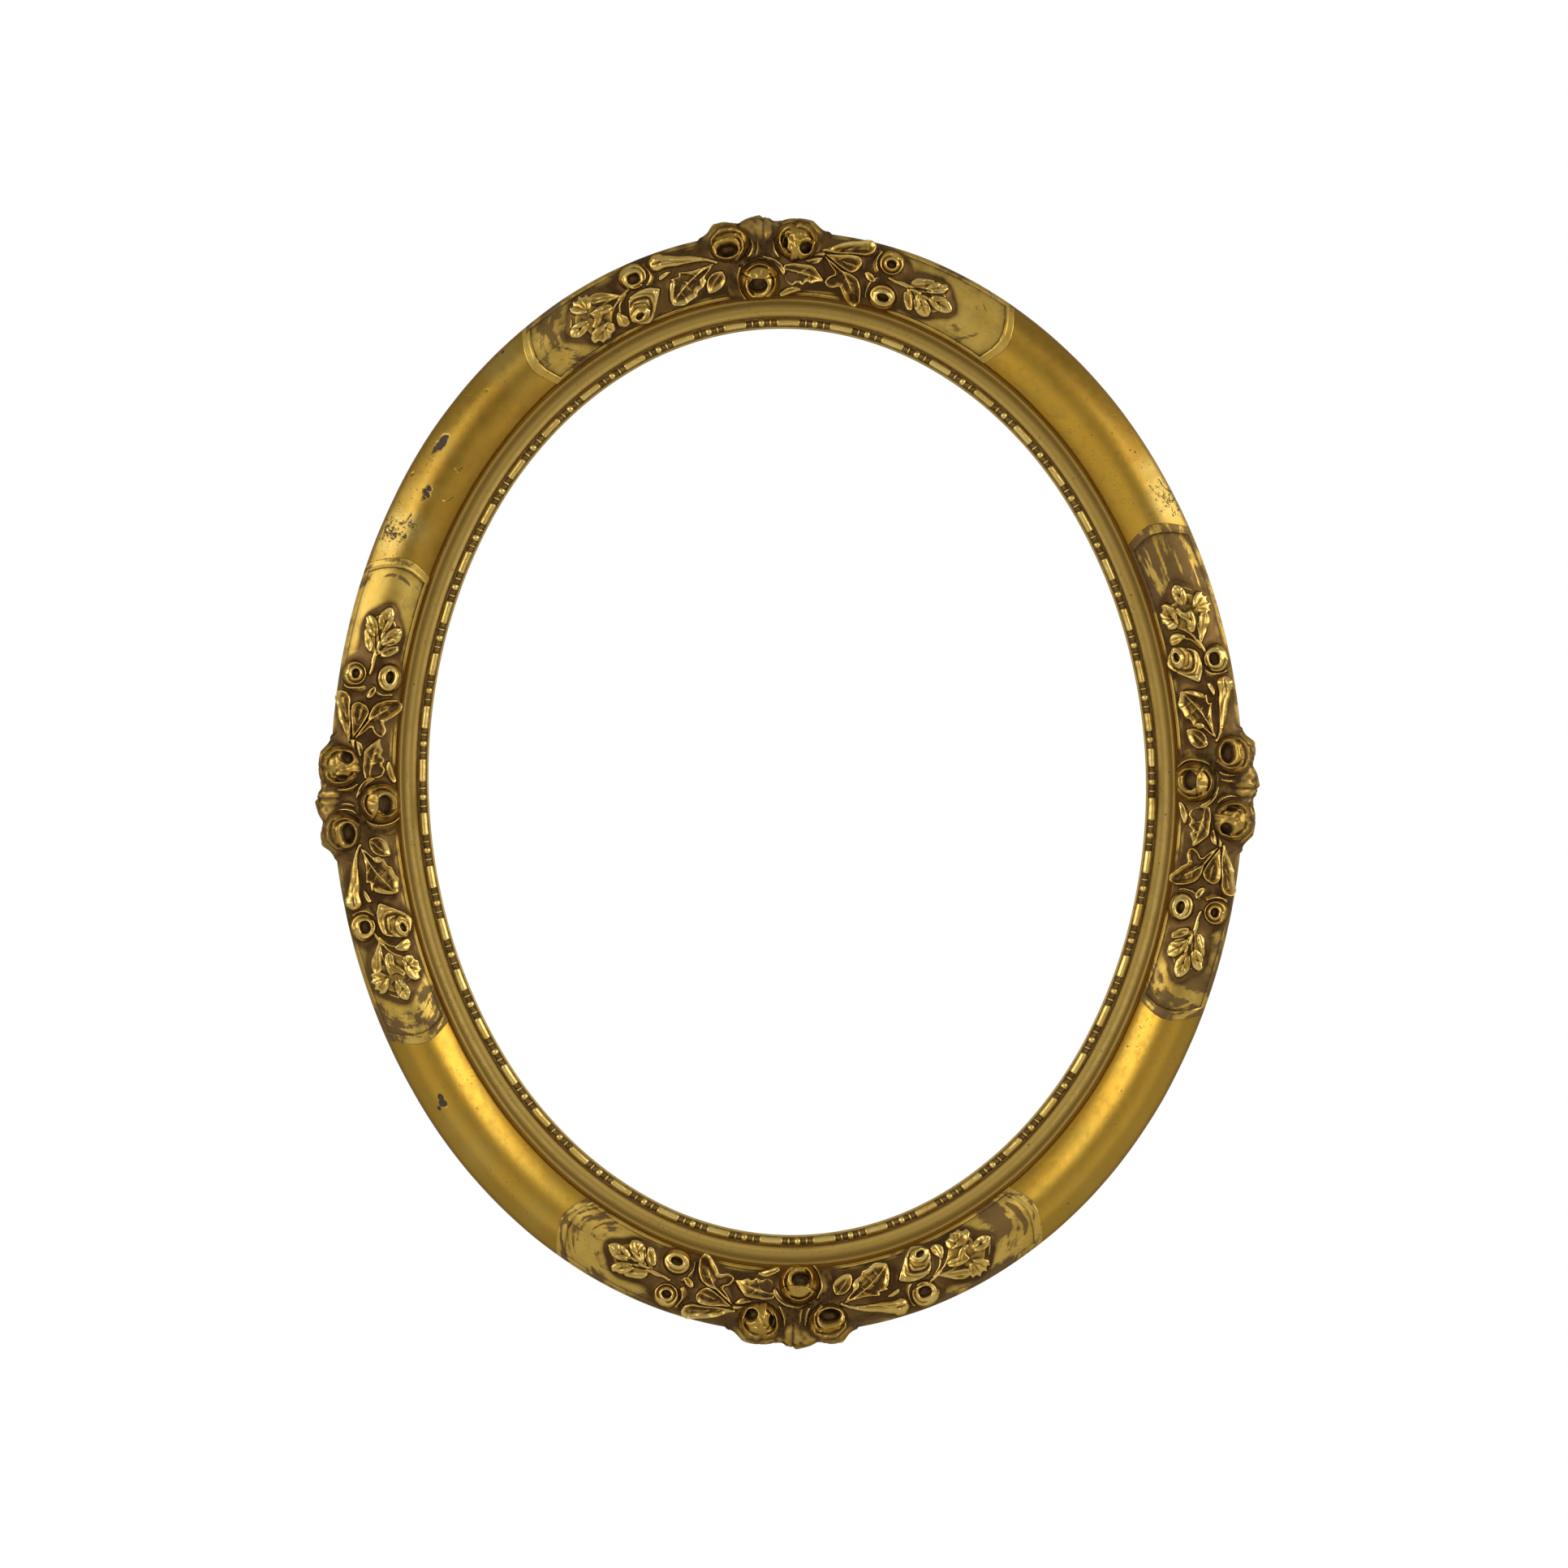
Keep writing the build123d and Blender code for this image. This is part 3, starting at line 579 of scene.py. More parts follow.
def front_section():
    round_h = lambda d: TORUS_H + math.sqrt(TORUS_R**2 - (d - TORUS_D) ** 2)
    a0 = math.degrees(math.acos((17.7 - TORUS_D) / TORUS_R))
    a1 = math.degrees(math.acos((MOULD_W - 0.35 - TORUS_D) / TORUS_R))
    runs = [
        line_points((0, 9.5), (0, 13.7), 4),
        arc_points((0, 13.9), (0.12, 14.38), (0.5, 14.5), 4),
        line_points((0.8, 14.5), (5.7, 14.5), 6),
        line_points((5.85, 14.6), (5.95, 15.4), 2),
        arc_points((6.1, 15.55), (8.9, 15.2), (12.3, 17.3), 16),
        line_points((12.45, 17.6), (13.35, 21.7), 6),
        arc_points((13.45, 22.15), (14.5, 23.1), (15.55, 22.15), 9),
        line_points((15.65, 21.95), (16.05, 21.9), 2),
        line_points((16.2, 22.15), (16.55, 23.6), 3),
        arc_points((16.6, 23.9), (16.9, round_h(16.9) - 0.12), (17.5, round_h(17.5) - 0.01), 5),
        [
            (TORUS_D + TORUS_R * math.cos(math.radians(t)), TORUS_H + TORUS_R * math.sin(math.radians(t)))
            for t in np.linspace(a0, a1, 76)
        ],
        arc_points((MOULD_W - 0.28, round_h(MOULD_W - 0.3)), (MOULD_W - 0.08, round_h(MOULD_W) - 0.2), (MOULD_W, round_h(MOULD_W) - 0.9), 4),
        line_points((MOULD_W, 24.2), (MOULD_W, 9.4), 14),
        line_points((MOULD_W - 0.3, 9.0), (10.5, 9.0), 20),
        line_points((10.5, 9.3), (0.3, 9.5), 6),
    ]
    pts = []
    for run in runs:
        for q in run:
            if not pts or math.hypot(q[0] - pts[-1][0], q[1] - pts[-1][1]) > 0.05:
                pts.append(q)
    return np.array(pts)


PHOTO_TILT = math.radians(1.63)


def on_frame(px, py, h=33.0):
    """Direction and distance from the sight edge of a place given in the 1932 px view."""
    k = 0.4317 / (1 + (h - 14.5) / 2785)
    dx, dy = (px - 970.0) * k, (py - 963.4) * k
    c, s = math.cos(PHOTO_TILT), math.sin(PHOTO_TILT)
    x, z = dx * c - dy * s, -(dx * s + dy * c)
    best = None
    for cx, cz, r, p0, p1 in ARCS:
        p = math.degrees(math.atan2(z - cz, x - cx))
        for q in (p, p + 360.0):
            if p0 - 0.3 <= q <= p1 + 0.3:
                d = math.hypot(x - cx, z - cz) - r
                if best is None or abs(d - 25) < abs(best[1] - 25):
                    best = (q, d)
    return best


# losses of the gilding: view px, half-sizes in mm, tilt in degrees, and how deep
CHIPS = [
    (546, 543, 3.2, 2.0, 20, 1.0), (541, 549, 2.2, 1.5, 60, 1.0), (536, 553, 1.7, 1.0, 30, 0.9),
    (551, 538, 1.2, 0.8, 0, 0.8), (533, 557, 1.0, 0.6, 20, 0.7),
    (529, 602, 1.6, 1.1, 60, 1.0), (526, 608, 2.6, 1.25, 62, 1.0), (523, 613, 1.1, 0.8, 60, 0.9),
    (543, 1352, 1.9, 1.4, 0, 1.0), (546, 1360, 2.5, 1.7, 40, 1.0), (541, 1366, 1.4, 1.0, 0, 0.8),
    (619, 432, 1.6, 0.7, 30, 0.7), (611, 437, 1.0, 0.6, 30, 0.6), (508, 583, 0.8, 0.6, 0, 0.7),
    (600, 481, 0.8, 0.5, 0, 0.7), (500, 660, 0.9, 0.6, 40, 0.7), (488, 661, 0.8, 0.5, 10, 0.7),
]
CRACKS = [
    [(546, 614), (550, 618), (554, 616), (558, 613)],
    [(561, 577), (565, 581), (569, 576)],
    [(488, 640), (496, 645), (503, 640), (507, 633)],
    [(472, 652), (480, 658), (490, 656), (500, 664)],
    [(1416, 598), (1424, 606), (1432, 611), (1441, 622)],
    [(1428, 590), (1436, 600), (1444, 604)],
]
WORN = [  # view px, radius mm, strength
    (480, 655, 14, 0.50), (468, 645, 10, 0.46), (505, 652, 11, 0.44), (620, 434, 14, 0.30), (605, 450, 12, 0.26),
    (545, 548, 11, 0.22), (527, 606, 11, 0.20), (1442, 618, 14, 0.46), (1436, 600, 12, 0.40), (1475, 632, 11, 0.40), (1420, 575, 10, 0.30),
    (590, 1420, 16, 0.22), (560, 1385, 12, 0.20), (662, 1492, 14, 0.20), (505, 610, 14, 0.18),
    (1410, 1400, 16, 0.14), (1345, 1470, 14, 0.14), (640, 470, 16, 0.16),
]


def segment_distance(x, y, a, b):
    ax, ay = a
    bx, by = b
    l2 = (bx - ax) ** 2 + (by - ay) ** 2 + 1e-12
    t = np.clip(((x - ax) * (bx - ax) + (y - ay) * (by - ay)) / l2, 0, 1)
    return np.hypot(x - ax - t * (bx - ax), y - ay - t * (by - ay)), t


SECTION = front_section()


def front_rail(name, t0):
    n = 620
    p = np.linspace(t0, t0 + 90.0, n + 1)
    pd, ph = SECTION[:, 0], SECTION[:, 1]
    m = len(pd)
    P, D = np.meshgrid(p, pd, indexing="ij")
    _, Hh = np.meshgrid(p, ph, indexing="ij")
    S = arc_s(P)
    nd = np.gradient(np.r_[pd[-1], pd, pd[0]])[1:-1]
    nh = np.gradient(np.r_[ph[-1], ph, ph[0]])[1:-1]
    ln = np.hypot(nd, nh)
    out_d, out_h = -nh / ln, nd / ln
    # hand work: the surfaces are not dead true
    wob = 0.10 * fractal(S, D, 55.0, 5) + 0.05 * fractal(S, D * 1.5, 14.0, 9)
    front = smooth(ph, 9.6, 12.0)[None, :]
    chip = np.zeros_like(S)
    worn = np.zeros_like(S)
    torus = (D > 17.5) & (Hh > 12.0)
    for px, py, ra, rb, tilt, depth in CHIPS:
        cp, cd = on_frame(px, py)
        cs = float(arc_s(cp))
        du, dv = S - cs, D - cd
        near = torus & (np.abs(du) < 9) & (np.abs(dv) < 9)
        c, s = math.cos(math.radians(tilt)), math.sin(math.radians(tilt))
        q = np.sqrt(((du * c + dv * s) / ra) ** 2 + ((-du * s + dv * c) / rb) ** 2)
        chip = np.where(near, np.maximum(chip, depth * smooth(1.7 - q, 0.0, 1.4)), chip)
    for path in CRACKS:
        pts = []
        for px, py in path:
            cp, cd = on_frame(px, py)
            pts.append((float(arc_s(cp)), cd))
        for a, b in zip(pts, pts[1:]):
            near = torus & (np.abs(S - a[0]) < 12)
            dist, _ = segment_distance(S + 0.35 * noise(S, D, 2.0, 3), D + 0.35 * noise(S, D, 1.7, 4), a, b)
            chip = np.where(near, np.maximum(chip, 0.66 * smooth(0.75 - dist, 0.0, 0.75)), chip)
    for px, py, radius, k in WORN:
        cp, cd = on_frame(px, py)
        du, dv = S - float(arc_s(cp)), D - cd
        worn = np.maximum(worn, np.where(torus & (np.hypot(du, dv) < radius * 2.5), k * bell(np.hypot(du, dv), radius), 0))
    worn = np.maximum(worn, 0.26 * smooth(D, 47.6, 50.3) * (Hh > 12))
    depth = 0.35 * smooth(chip, 0.4, 0.6)
    # painted shade on the upper rails: the upper-left round darkened most on its side towards the opening, the
    # upper-right round on its outer side
    upper = smooth(18.0 - np.abs(P - 146.0), -6.0, 8.0)
    right = smooth(16.0 - np.abs(P - 36.0), -6.0, 8.0)
    painted_shade = upper * (0.85 * smooth(D, 42.0, 35.0) + 0.12) + right * (0.22 + 0.80 * smooth(D, 34.0, 40.0) * smooth(D, 49.0, 45.5))
    painted_shade = painted_shade * (D > 16.8) * (0.85 + 0.30 * fractal(S, D * 2.0, 16.0, 15))
    lift = (wob - depth) * front
    D2, H2 = D + lift * out_d[None, :], Hh + lift * out_h[None, :]
    verts = place(P, D2, H2).reshape(-1, 3)
    i, j = np.meshgrid(np.arange(n), np.arange(m), indexing="ij")
    a = i * m + j
    b = i * m + (j + 1) % m
    quads = np.stack([a, b, b + m, a + m], axis=-1).reshape(-1, 4)
    caps = [np.arange(m), (np.arange(m) + n * m)[::-1]]
    ob = make_mesh(
        name + "_gilt", verts, [quads, *caps],
        {"across": D, "length": S % 4000.0, "chip": chip, "worn": worn, "painted_shade": painted_shade}, sharp=38,
    )
    ob.data.materials.append(MOULDING)
    ob.data.materials.append(BARE)
    # the underside and the ledge were never gilded
    back = np.array([(9.0 <= h <= 9.55) for h in ph])
    idx = np.zeros(len(ob.data.polygons), np.int32)
    quad_back = (back[j] & back[(j + 1) % m]).reshape(-1)
    idx[: len(quad_back)] = quad_back
    idx[len(quad_back):] = 1
    ob.data.polygons.foreach_set("material_index", idx)
    ob.data.update()
    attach(ob, "frame")
    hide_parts(name)


BARE = wood("bare_limewood", (3.0, 3.0, 3.0), ((0.30, 0.195, 0.105), (0.235, 0.145, 0.072), (0.14, 0.08, 0.036)), 0.7, 0.7)
for name, t0 in (
    ("front_rail_upper_right", 0.0),
    ("front_rail_upper_left", 90.0),
    ("front_rail_lower_left", 180.0),
    ("front_rail_lower_right", 270.0),
):
    front_rail(name, t0)

# ---------------------------------------------------------------- bead and reel

BEAD_PITCH = 28.8
BEAD_D, BEAD_H = 3.0, 14.52


def bead_form(t):
    """Half-width and height of the strip at t mm from the middle of a bead, and how proud it is."""
    a = np.abs(t)
    neck = 1.42 + 0.32 * bell(a - 2.85, 0.45) + 0.32 * bell(a - 6.75, 0.55)
    bead = np.where(a < 1.75, 1.30 + 0.95 * np.sqrt(np.clip(1 - (a / 1.75) ** 2, 0, 1)), 0)
    disc = np.where(np.abs(a - 4.85) < 0.66, 1.25 + 0.87 * np.clip(1 - ((a - 4.85) / 0.66) ** 2, 0, 1) ** 0.5, 0)
    reel = np.where(a > 8.0, 1.25 + 0.97 * np.clip(1 - np.clip((9.0 - a) / 1.0, 0, 1) ** 2.2, 0, 1) ** 0.5, 0)
    w = np.maximum(np.maximum(neck, bead), np.maximum(disc, reel))
    return w, smooth(w, 1.5, 2.05)


def bead_strip(name, t0):
    d_line = 3.0
    s0, s1 = float(arc_s(t0 + 90.0, d_line)), float(arc_s(t0, d_line))
    n = int((s1 - s0) / 0.24)
    s = np.linspace(s0, s1, n + 1)
    p = along(90.0, s, d_line)
    # spacing as on the right-hand axis, where a short unit closes the run
    centre = float(arc_s(BEAD_JOINT_P, d_line))
    total = float(arc_s(-270.0, d_line)) - float(arc_s(90.0, d_line))
    count = 48
    pitch = (total - 16.6) / count
    u = (s - centre - 8.3) % total
    k = np.floor(u / pitch)
    t = u - (k + 0.5) * pitch
    # 48 whole units, then one single bead without its discs
    tail = k >= count
    t = np.where(tail, u - count * pitch - 8.3, t * BEAD_PITCH / pitch)
    w, proud = bead_form(t)
    single = np.where(np.abs(t) < 1.75, 1.30 + 0.95 * np.sqrt(np.clip(1 - (t / 1.75) ** 2, 0, 1)), 1.42)
    reel_end = np.where(np.abs(t) > 4.2, 1.25 + 0.97 * np.clip(1 - np.clip((5.2 - np.abs(t)), 0, 1) ** 2.2, 0, 1) ** 0.5, 0)
    w = np.where(tail, np.maximum(single, reel_end), w)
    proud = smooth(w, 1.5, 2.05)
    jitter = 0.05 * noise(s, s * 0, 9.0, 21) + 0.03 * noise(s, s * 0 + 5, 2.3, 22)
    w = w * (1 + jitter)
    m = 15
    alpha = np.linspace(0, math.pi, m)
    # a thin batten under the beads, then the half-rounds standing on it
    ad = [2.45, 2.45] + [None] * m + [-2.45, -2.45]
    ah = [0.0, 0.55] + [None] * m + [0.55, 0.0]
    cols = len(ad)
    DD, HH = np.zeros((n + 1, cols)), np.zeros((n + 1, cols))
    side = 0.12 * noise(s, s * 0 + 9, 6.0, 23)
    for c in range(cols):
        if ad[c] is not None:
            DD[:, c], HH[:, c] = BEAD_D + ad[c], BEAD_H + ah[c]
        else:
            a = alpha[c - 2]
            DD[:, c] = BEAD_D + np.minimum(w, 2.3) * math.cos(a) * 1.0 + side * math.sin(a)
            HH[:, c] = BEAD_H + 0.6 + (w * 1.12) * math.sin(a) ** 0.9
    P, _ = np.meshgrid(p, np.arange(cols), indexing="ij")
    S, _ = np.meshgrid(s, np.arange(cols), indexing="ij")
    verts = place(P, DD, HH).reshape(-1, 3)
    i, j = np.meshgrid(np.arange(n), np.arange(cols), indexing="ij")
    a = i * cols + j
    b = i * cols + (j + 1) % cols
    quads = np.stack([a, b, b + cols, a + cols], axis=-1).reshape(-1, 4)
    caps = [np.arange(cols), (np.arange(cols) + n * cols)[::-1]]
    up = np.array([0, 0.1] + list(np.sin(alpha)) + [0.1, 0])
    rise = proud[:, None] * (0.35 + 0.65 * up[None, :]) * np.ones_like(DD)
    slope = np.gradient(w)[:, None] * np.ones_like(DD)
    ob = make_mesh(
        name + "_reels", verts, [quads, *caps],
        {"rise": rise, "cavity": -0.6 * np.clip(np.abs(slope) * 1.2, 0, 0.6)}, sharp=50,
    )
    ob.data.materials.append(BEADS)
    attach(ob, "frame")
    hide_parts(name)


BEAD_JOINT_P = 3.2
for name, t0 in (
    ("bead_strip_upper_right", 1.5),
    ("bead_strip_upper_left", 91.5),
    ("bead_strip_lower_left", 181.5),
    ("bead_strip_lower_right", 271.5),
):
    bead_strip(name, t0)

# ---------------------------------------------------------------- the ornament
# One casting of roses, buds and leaves, carved here as heights over the half-round.
# s is measured from the lower rose, clockwise; d from the sight edge, both in mm as
# seen from the front.

ORNAMENTS = {
    "ornament_top": (90.0, -7.8, -138.0, 130.5, 11),
    "ornament_right": (0.0, 5.7, -131.8, 132.5, 23),
    "ornament_bottom": (270.0, 0.7, -131.8, 133.0, 37),
    "ornament_left": (180.0, -5.7, -133.8, 124.8, 53),
}
GROUND = 1.15


def chaikin(points, rounds=2, closed=True):
    pts = np.array(points, float)
    for _ in range(rounds):
        nxt = np.roll(pts, -1, axis=0) if closed else pts[1:]
        cur = pts if closed else pts[:-1]
        a, b = cur * 0.8 + nxt * 0.2, cur * 0.2 + nxt * 0.8
        new = np.empty((2 * len(a), 2))
        new[0::2], new[1::2] = a, b
        if not closed:
            new = np.vstack([pts[:1], new, pts[-1:]])
        pts = new
    return pts


def polygon_distance(x, y, pts):
    """Distance to the outline, positive inside."""
    best = np.full(x.shape, 1e9)
    inside = np.zeros(x.shape, bool)
    for a, b in zip(pts, np.roll(pts, -1, axis=0)):
        dist, _ = segment_distance(x, y, a, b)
        best = np.minimum(best, dist)
        cross = (a[1] > y) != (b[1] > y)
        with np.errstate(divide="ignore", invalid="ignore"):
            at = a[0] + (y - a[1]) * (b[0] - a[0]) / (b[1] - a[1] + 1e-12)
        inside ^= cross & (x < at)
    return np.where(inside, best, -best)


def path_distance(x, y, pts):
    """Distance to a line through points, and the place along it from 0 to 1."""
    best, where = np.full(x.shape, 1e9), np.zeros(x.shape)
    lens = np.hypot(*np.diff(pts, axis=0).T)
    total, run = lens.sum(), 0.0
    for a, b, ln in zip(pts[:-1], pts[1:], lens):
        dist, t = segment_distance(x, y, a, b)
        closer = dist < best
        best = np.where(closer, dist, best)
        where = np.where(closer, (run + t * ln) / total, where)
        run += ln
    return best, where


class Carving:
    def __init__(self, S, PHI, seed, lever):
        self.S, self.PHI, self.seed, self.lever = S, PHI, seed, lever
        self.cos, self.sin = np.cos(PHI), np.sin(PHI)
        # the round, and below its outer corner the moulding's upright side
        self.R0 = np.minimum(TORUS_R, (MOULD_W - TORUS_D + 0.03) / np.maximum(self.cos, 0.2))
        # d as it looks from 2.8 m in front, where higher places seem further out
        self.D = TORUS_D + (self.R0 + 1.9) * self.cos + lever * (TORUS_H + (self.R0 + 1.9) * self.sin - 14.5)
        self.H = np.full(S.shape, GROUND)
        self.motif = np.zeros(S.shape)
        self.pit = np.zeros(S.shape)
        self.rose = np.zeros(S.shape)

    def box(self, pts, pad):
        pts = np.asarray(pts)
        (x0, y0), (x1, y1) = pts.min(0) - pad, pts.max(0) + pad
        rows = np.where((self.D.max(0) >= y0) & (self.D.min(0) <= y1))[0]
        cols = np.where((self.S.max(1) >= x0) & (self.S.min(1) <= x1))[0]
        if len(rows) == 0 or len(cols) == 0:
            return None
        return slice(cols[0], cols[-1] + 1), slice(rows[0], rows[-1] + 1)

    def merge(self, w, z, e):
        """Keeps the higher of what stands there and z, where e (distance inside) allows."""
        H = self.H[w]
        up = (e > -0.35) & (z > H)
        self.H[w] = np.where(up, z, H)
        self.motif[w] = np.where(up, 1.0, self.motif[w])

    def leaf(self, outline, lift=2.2, rim=0.55, hollow=0.9, mid=None, rib=0.7, veins=(), vein=0.35,
             slope=(0.0, 0.0), base=None, rounds=1, edge=0.35):
        """A thin cast leaf: turned-up rim, hollow halves, raised midrib and side veins."""
        pts = chaikin(outline, rounds)
        w = self.box(pts, 1.5)
        if w is None:
            return
        x, y = self.S[w], self.D[w]
        e = polygon_distance(x, y, pts)
        c = pts.mean(0)
        body = smooth(e, -0.3, edge)
        grow = 1.0
        if mid is not None:
            _, along_mid = path_distance(x, y, chaikin(mid, 2, closed=False))
            grow = 0.62 + 0.62 * along_mid
        uneven = 1.0 + 0.75 * noise(x, y, 4.2, self.seed + 61)
        z = (lift * grow + slope[0] * (x - c[0]) + slope[1] * (y - c[1])) * body
        z += 1.05 * rim * uneven * bell(e - 0.6, 0.42) * (e > -0.2) - 1.6 * hollow * smooth(e, 0.5, 3.0)
        z += 0.35 * noise(x, y, 3.4, self.seed + 62) * body
        if mid is not None:
            m = chaikin(mid, 2, closed=False)
            dm, t = path_distance(x, y, m)
            (ax, ay), (bx, by) = m[0], m[-1]
            side = np.clip(((bx - ax) * (y - ay) - (by - ay) * (x - ax)) / math.hypot(bx - ax, by - ay) / 1.2, -1, 1)
            z += (e > -0.3) * np.clip(dm, 0, 6) * (0.17 * side - 0.06) * smooth(e, -0.3, 0.5)
            z += (e > 0) * (rib * (1.05 - 0.5 * t) * bell(dm, 0.42) + 0.5 * bell(dm, 1.3))
        for line in veins:
            dv, t = path_distance(x, y, chaikin(line, 1, closed=False))
            z += (e > 0.15) * vein * (1 - 0.7 * t) * bell(dv, 0.42)
        self.merge(w, (GROUND if base is None else base) + z, e)

    def lobe(self, outline, lift=2.4, dome=0.9, radius=2.2, veins=(), vein=-0.45, base=None, rounds=2,
             slope=(0.0, 0.0)):
        """A rounded fleshy lobe with sunk veins."""
        pts = chaikin(outline, rounds)
        w = self.box(pts, 1.5)
        if w is None:
            return
        x, y = self.S[w], self.D[w]
        e = polygon_distance(x, y, pts)
        c = pts.mean(0)
        q = np.clip(e / radius, 0, 1)
        z = (lift + slope[0] * (x - c[0]) + slope[1] * (y - c[1]) - dome) * smooth(e, -0.3, 0.45) + dome * np.sqrt(1 - (1 - q) ** 2)
        z += (0.45 * noise(x, y, 3.4, self.seed + 63) + 0.12 * noise(x, y, 1.5, self.seed + 64)) * smooth(e, 0.0, 1.2)
        for line in veins:
            dv, t = path_distance(x, y, chaikin(line, 1, closed=False))
            z += (e > 0.0) * vein * (1 - 0.5 * t) * bell(dv, 0.45)
        self.merge(w, (GROUND if base is None else base) + z, e)

    def stem(self, pts, w0, w1, lift, lift1=None, base=None):
        """A round stem that tapers from w0 to w1 half-width."""
        pts = chaikin(pts, 2, closed=False)
        w = self.box(pts, max(w0, w1) + 1.0)
        if w is None:
            return
        x, y = self.S[w], self.D[w]
        dist, t = path_distance(x, y, pts)
        half = w0 + (w1 - w0) * t
        top = lift + ((lift1 if lift1 is not None else lift) - lift) * t
        q = np.clip(dist / half, 0, 1)
        z = top * np.sqrt(1 - q**2)
        self.merge(w, (GROUND if base is None else base) + np.where(dist < half, z, -1), np.where(dist < half, 1.0, -1.0))

    def groove(self, pts, width, depth, only=None):
        pts = chaikin(pts, 2, closed=False)
        w = self.box(pts, width * 3)
        if w is None:
            return
        dist, t = path_distance(self.S[w], self.D[w], pts)
        self.H[w] -= depth * bell(dist, width) * (1 - 0.3 * t)

    def ridge(self, pts, width, height, taper=0.5):
        pts = chaikin(pts, 2, closed=False)
        w = self.box(pts, width * 3)
        if w is None:
            return
        dist, t = path_distance(self.S[w], self.D[w], pts)
        self.H[w] += height * bell(dist, width) * (1 - taper * t)

    def ball(self, s, d, h, radius, relief=None, squash=(1.0, 1.0)):
        """A ball standing in the half-round, cut by relief(u, v) in mm, u along s and v along d."""
        cd, ch = d - self.lever * (h - 14.5) - TORUS_D, h - TORUS_H
        cols = np.where((self.S.max(1) >= s - radius * squash[0] - 1) & (self.S.min(1) <= s + radius * squash[0] + 1))[0]
        w = (slice(cols[0], cols[-1] + 1), slice(None))
        S, c, si = self.S[w], self.cos[w], self.sin[w]
        du = (S - s) / squash[0]
        b = cd * c + ch * si
        disc = b * b - (du**2 + cd**2 + ch**2 - radius**2)
        hit = disc > 0
        root = np.sqrt(np.where(hit, disc, 0.0))
        r = b + root
        u = du * squash[0]
        v = r * c - cd + self.lever * (r * si - ch)
        f, pit = relief(u, v) if relief else (0.0, 0.0)
        z = r - self.R0[w] + f / np.maximum(root / radius, 0.45)
        H = self.H[w]
        up = hit & (z > H)
        # a pit cuts what is there, whichever is higher
        H2 = np.where(up, z, H)
        self.motif[w] = np.where(up, 1.0, self.motif[w])
        if radius > 9.0:
            self.rose[w] = np.where(up, 1.0, self.rose[w])
        cut = hit & (r - self.R0[w] > GROUND + 0.3)
        H2 = np.where(cut, H2 - pit * 0.72, H2)
        self.pit[w] = np.maximum(self.pit[w], np.where(cut, np.clip(pit / 3.0, 0, 1), 0))
        self.H[w] = np.maximum(H2, GROUND - 0.3)

    def petals(self, s, d, rings, base):
        """Petal edges lying round a ball: (radius, from, to, height, width) seen from the front."""
        for radius, t0, t1, height, width in rings:
            x, y = self.S - s, self.D - d
            rho, th = np.hypot(x, y) + 0.55 * noise(x, y, 4.5, self.seed + 65), np.degrees(np.arctan2(y, x))
            mid, half = (t0 + t1) / 2, (t1 - t0) / 2
            off = np.abs((th - mid + 180) % 360 - 180)
            span = smooth(half - off, -4.0, 9.0)
            # steep towards the ball, falling away outwards
            q = rho - radius
            prof = np.where(q < 0, smooth(q, -1.1, 0.2), np.exp(-np.clip(q, 0, None) / width))
            near = (rho < radius + 4 * width) & (span > 0)
            z = base + height * prof * span
            up = near & (z > self.H) & (height * prof * span > 0.15)
            self.H = np.where(up, z, self.H)
            self.motif = np.where(up, 1.0, self.motif)


def ellipse_q(u, v, cx, cy, a, b, tilt=0.0):
    c, s = math.cos(math.radians(tilt)), math.sin(math.radians(tilt))
    x, y = (u - cx) * c + (v - cy) * s, -(u - cx) * s + (v - cy) * c
    return np.sqrt((x / a) ** 2 + (y / b) ** 2)


def hole(u, v, cx, cy, a, b, tilt=0.0, depth=6.0, lip=0.7, lip_w=0.26):
    q = ellipse_q(u, v, cx, cy, a, b, tilt)
    return lip * bell(q - 1.32, lip_w), depth * smooth(q, 1.12, 0.80)


def edge_of(u, v, cx, cy, radius, t0, t1, rise, lip=0.35, groove=0.5, soft=0.35, fall=3.5):
    """Edge of a petal laid over the ball: higher outside the circle, between two directions."""
    rho, th = np.hypot(u - cx, v - cy), np.degrees(np.arctan2(v - cy, u - cx))
    mid, half = (t0 + t1) / 2, (t1 - t0) / 2
    span = smooth(half - np.abs((th - mid + 180) % 360 - 180), -3.0, 12.0)
    q = rho - radius
    return span * (
        rise * smooth(q, -soft, soft) * np.exp(-np.clip(q, 0, None) / fall)
        + lip * bell(q - soft, soft * 1.2)
        - groove * bell(q + soft * 1.6, soft * 1.3)
    )


def rose_a(u, v):
    lip, pit = hole(u, v, -1.1, -1.2, 5.0, 3.7, 0, 7.0, 0.0)
    q = ellipse_q(u, v, -1.1, -1.2, 5.0, 3.7)
    th = np.degrees(np.arctan2(v + 0.9, u + 1.9))
    low = smooth(170 - np.abs((th + 120 + 180) % 360 - 180), 30, 110)
    f = (0.55 + 1.00 * low) * bell(q - 1.38, 0.22) - 0.7 * bell(q - 1.85, 0.16) * low
    # flat petal folded over the top of the opening
    f = f + 0.9 * smooth(v, 1.6, 2.6) * smooth(6.5 - np.abs(u + 1.0), 0, 2.5) * smooth(v, 7.5, 4.0)
    f = f + edge_of(u, v, -1.2, -0.5, 7.4, -70, 58, 0.9, 0.6, 0.9)
    f = f + edge_of(u, v, -0.5, 0.5, 8.2, 25, 160, 0.8, 0.5, 0.8)
    f = f + 0.28 * noise(u, v, 2.6, 71) + 0.45 * smooth(v, 2.0, 5.0) * noise(u, v, 1.9, 171)
    return f, pit


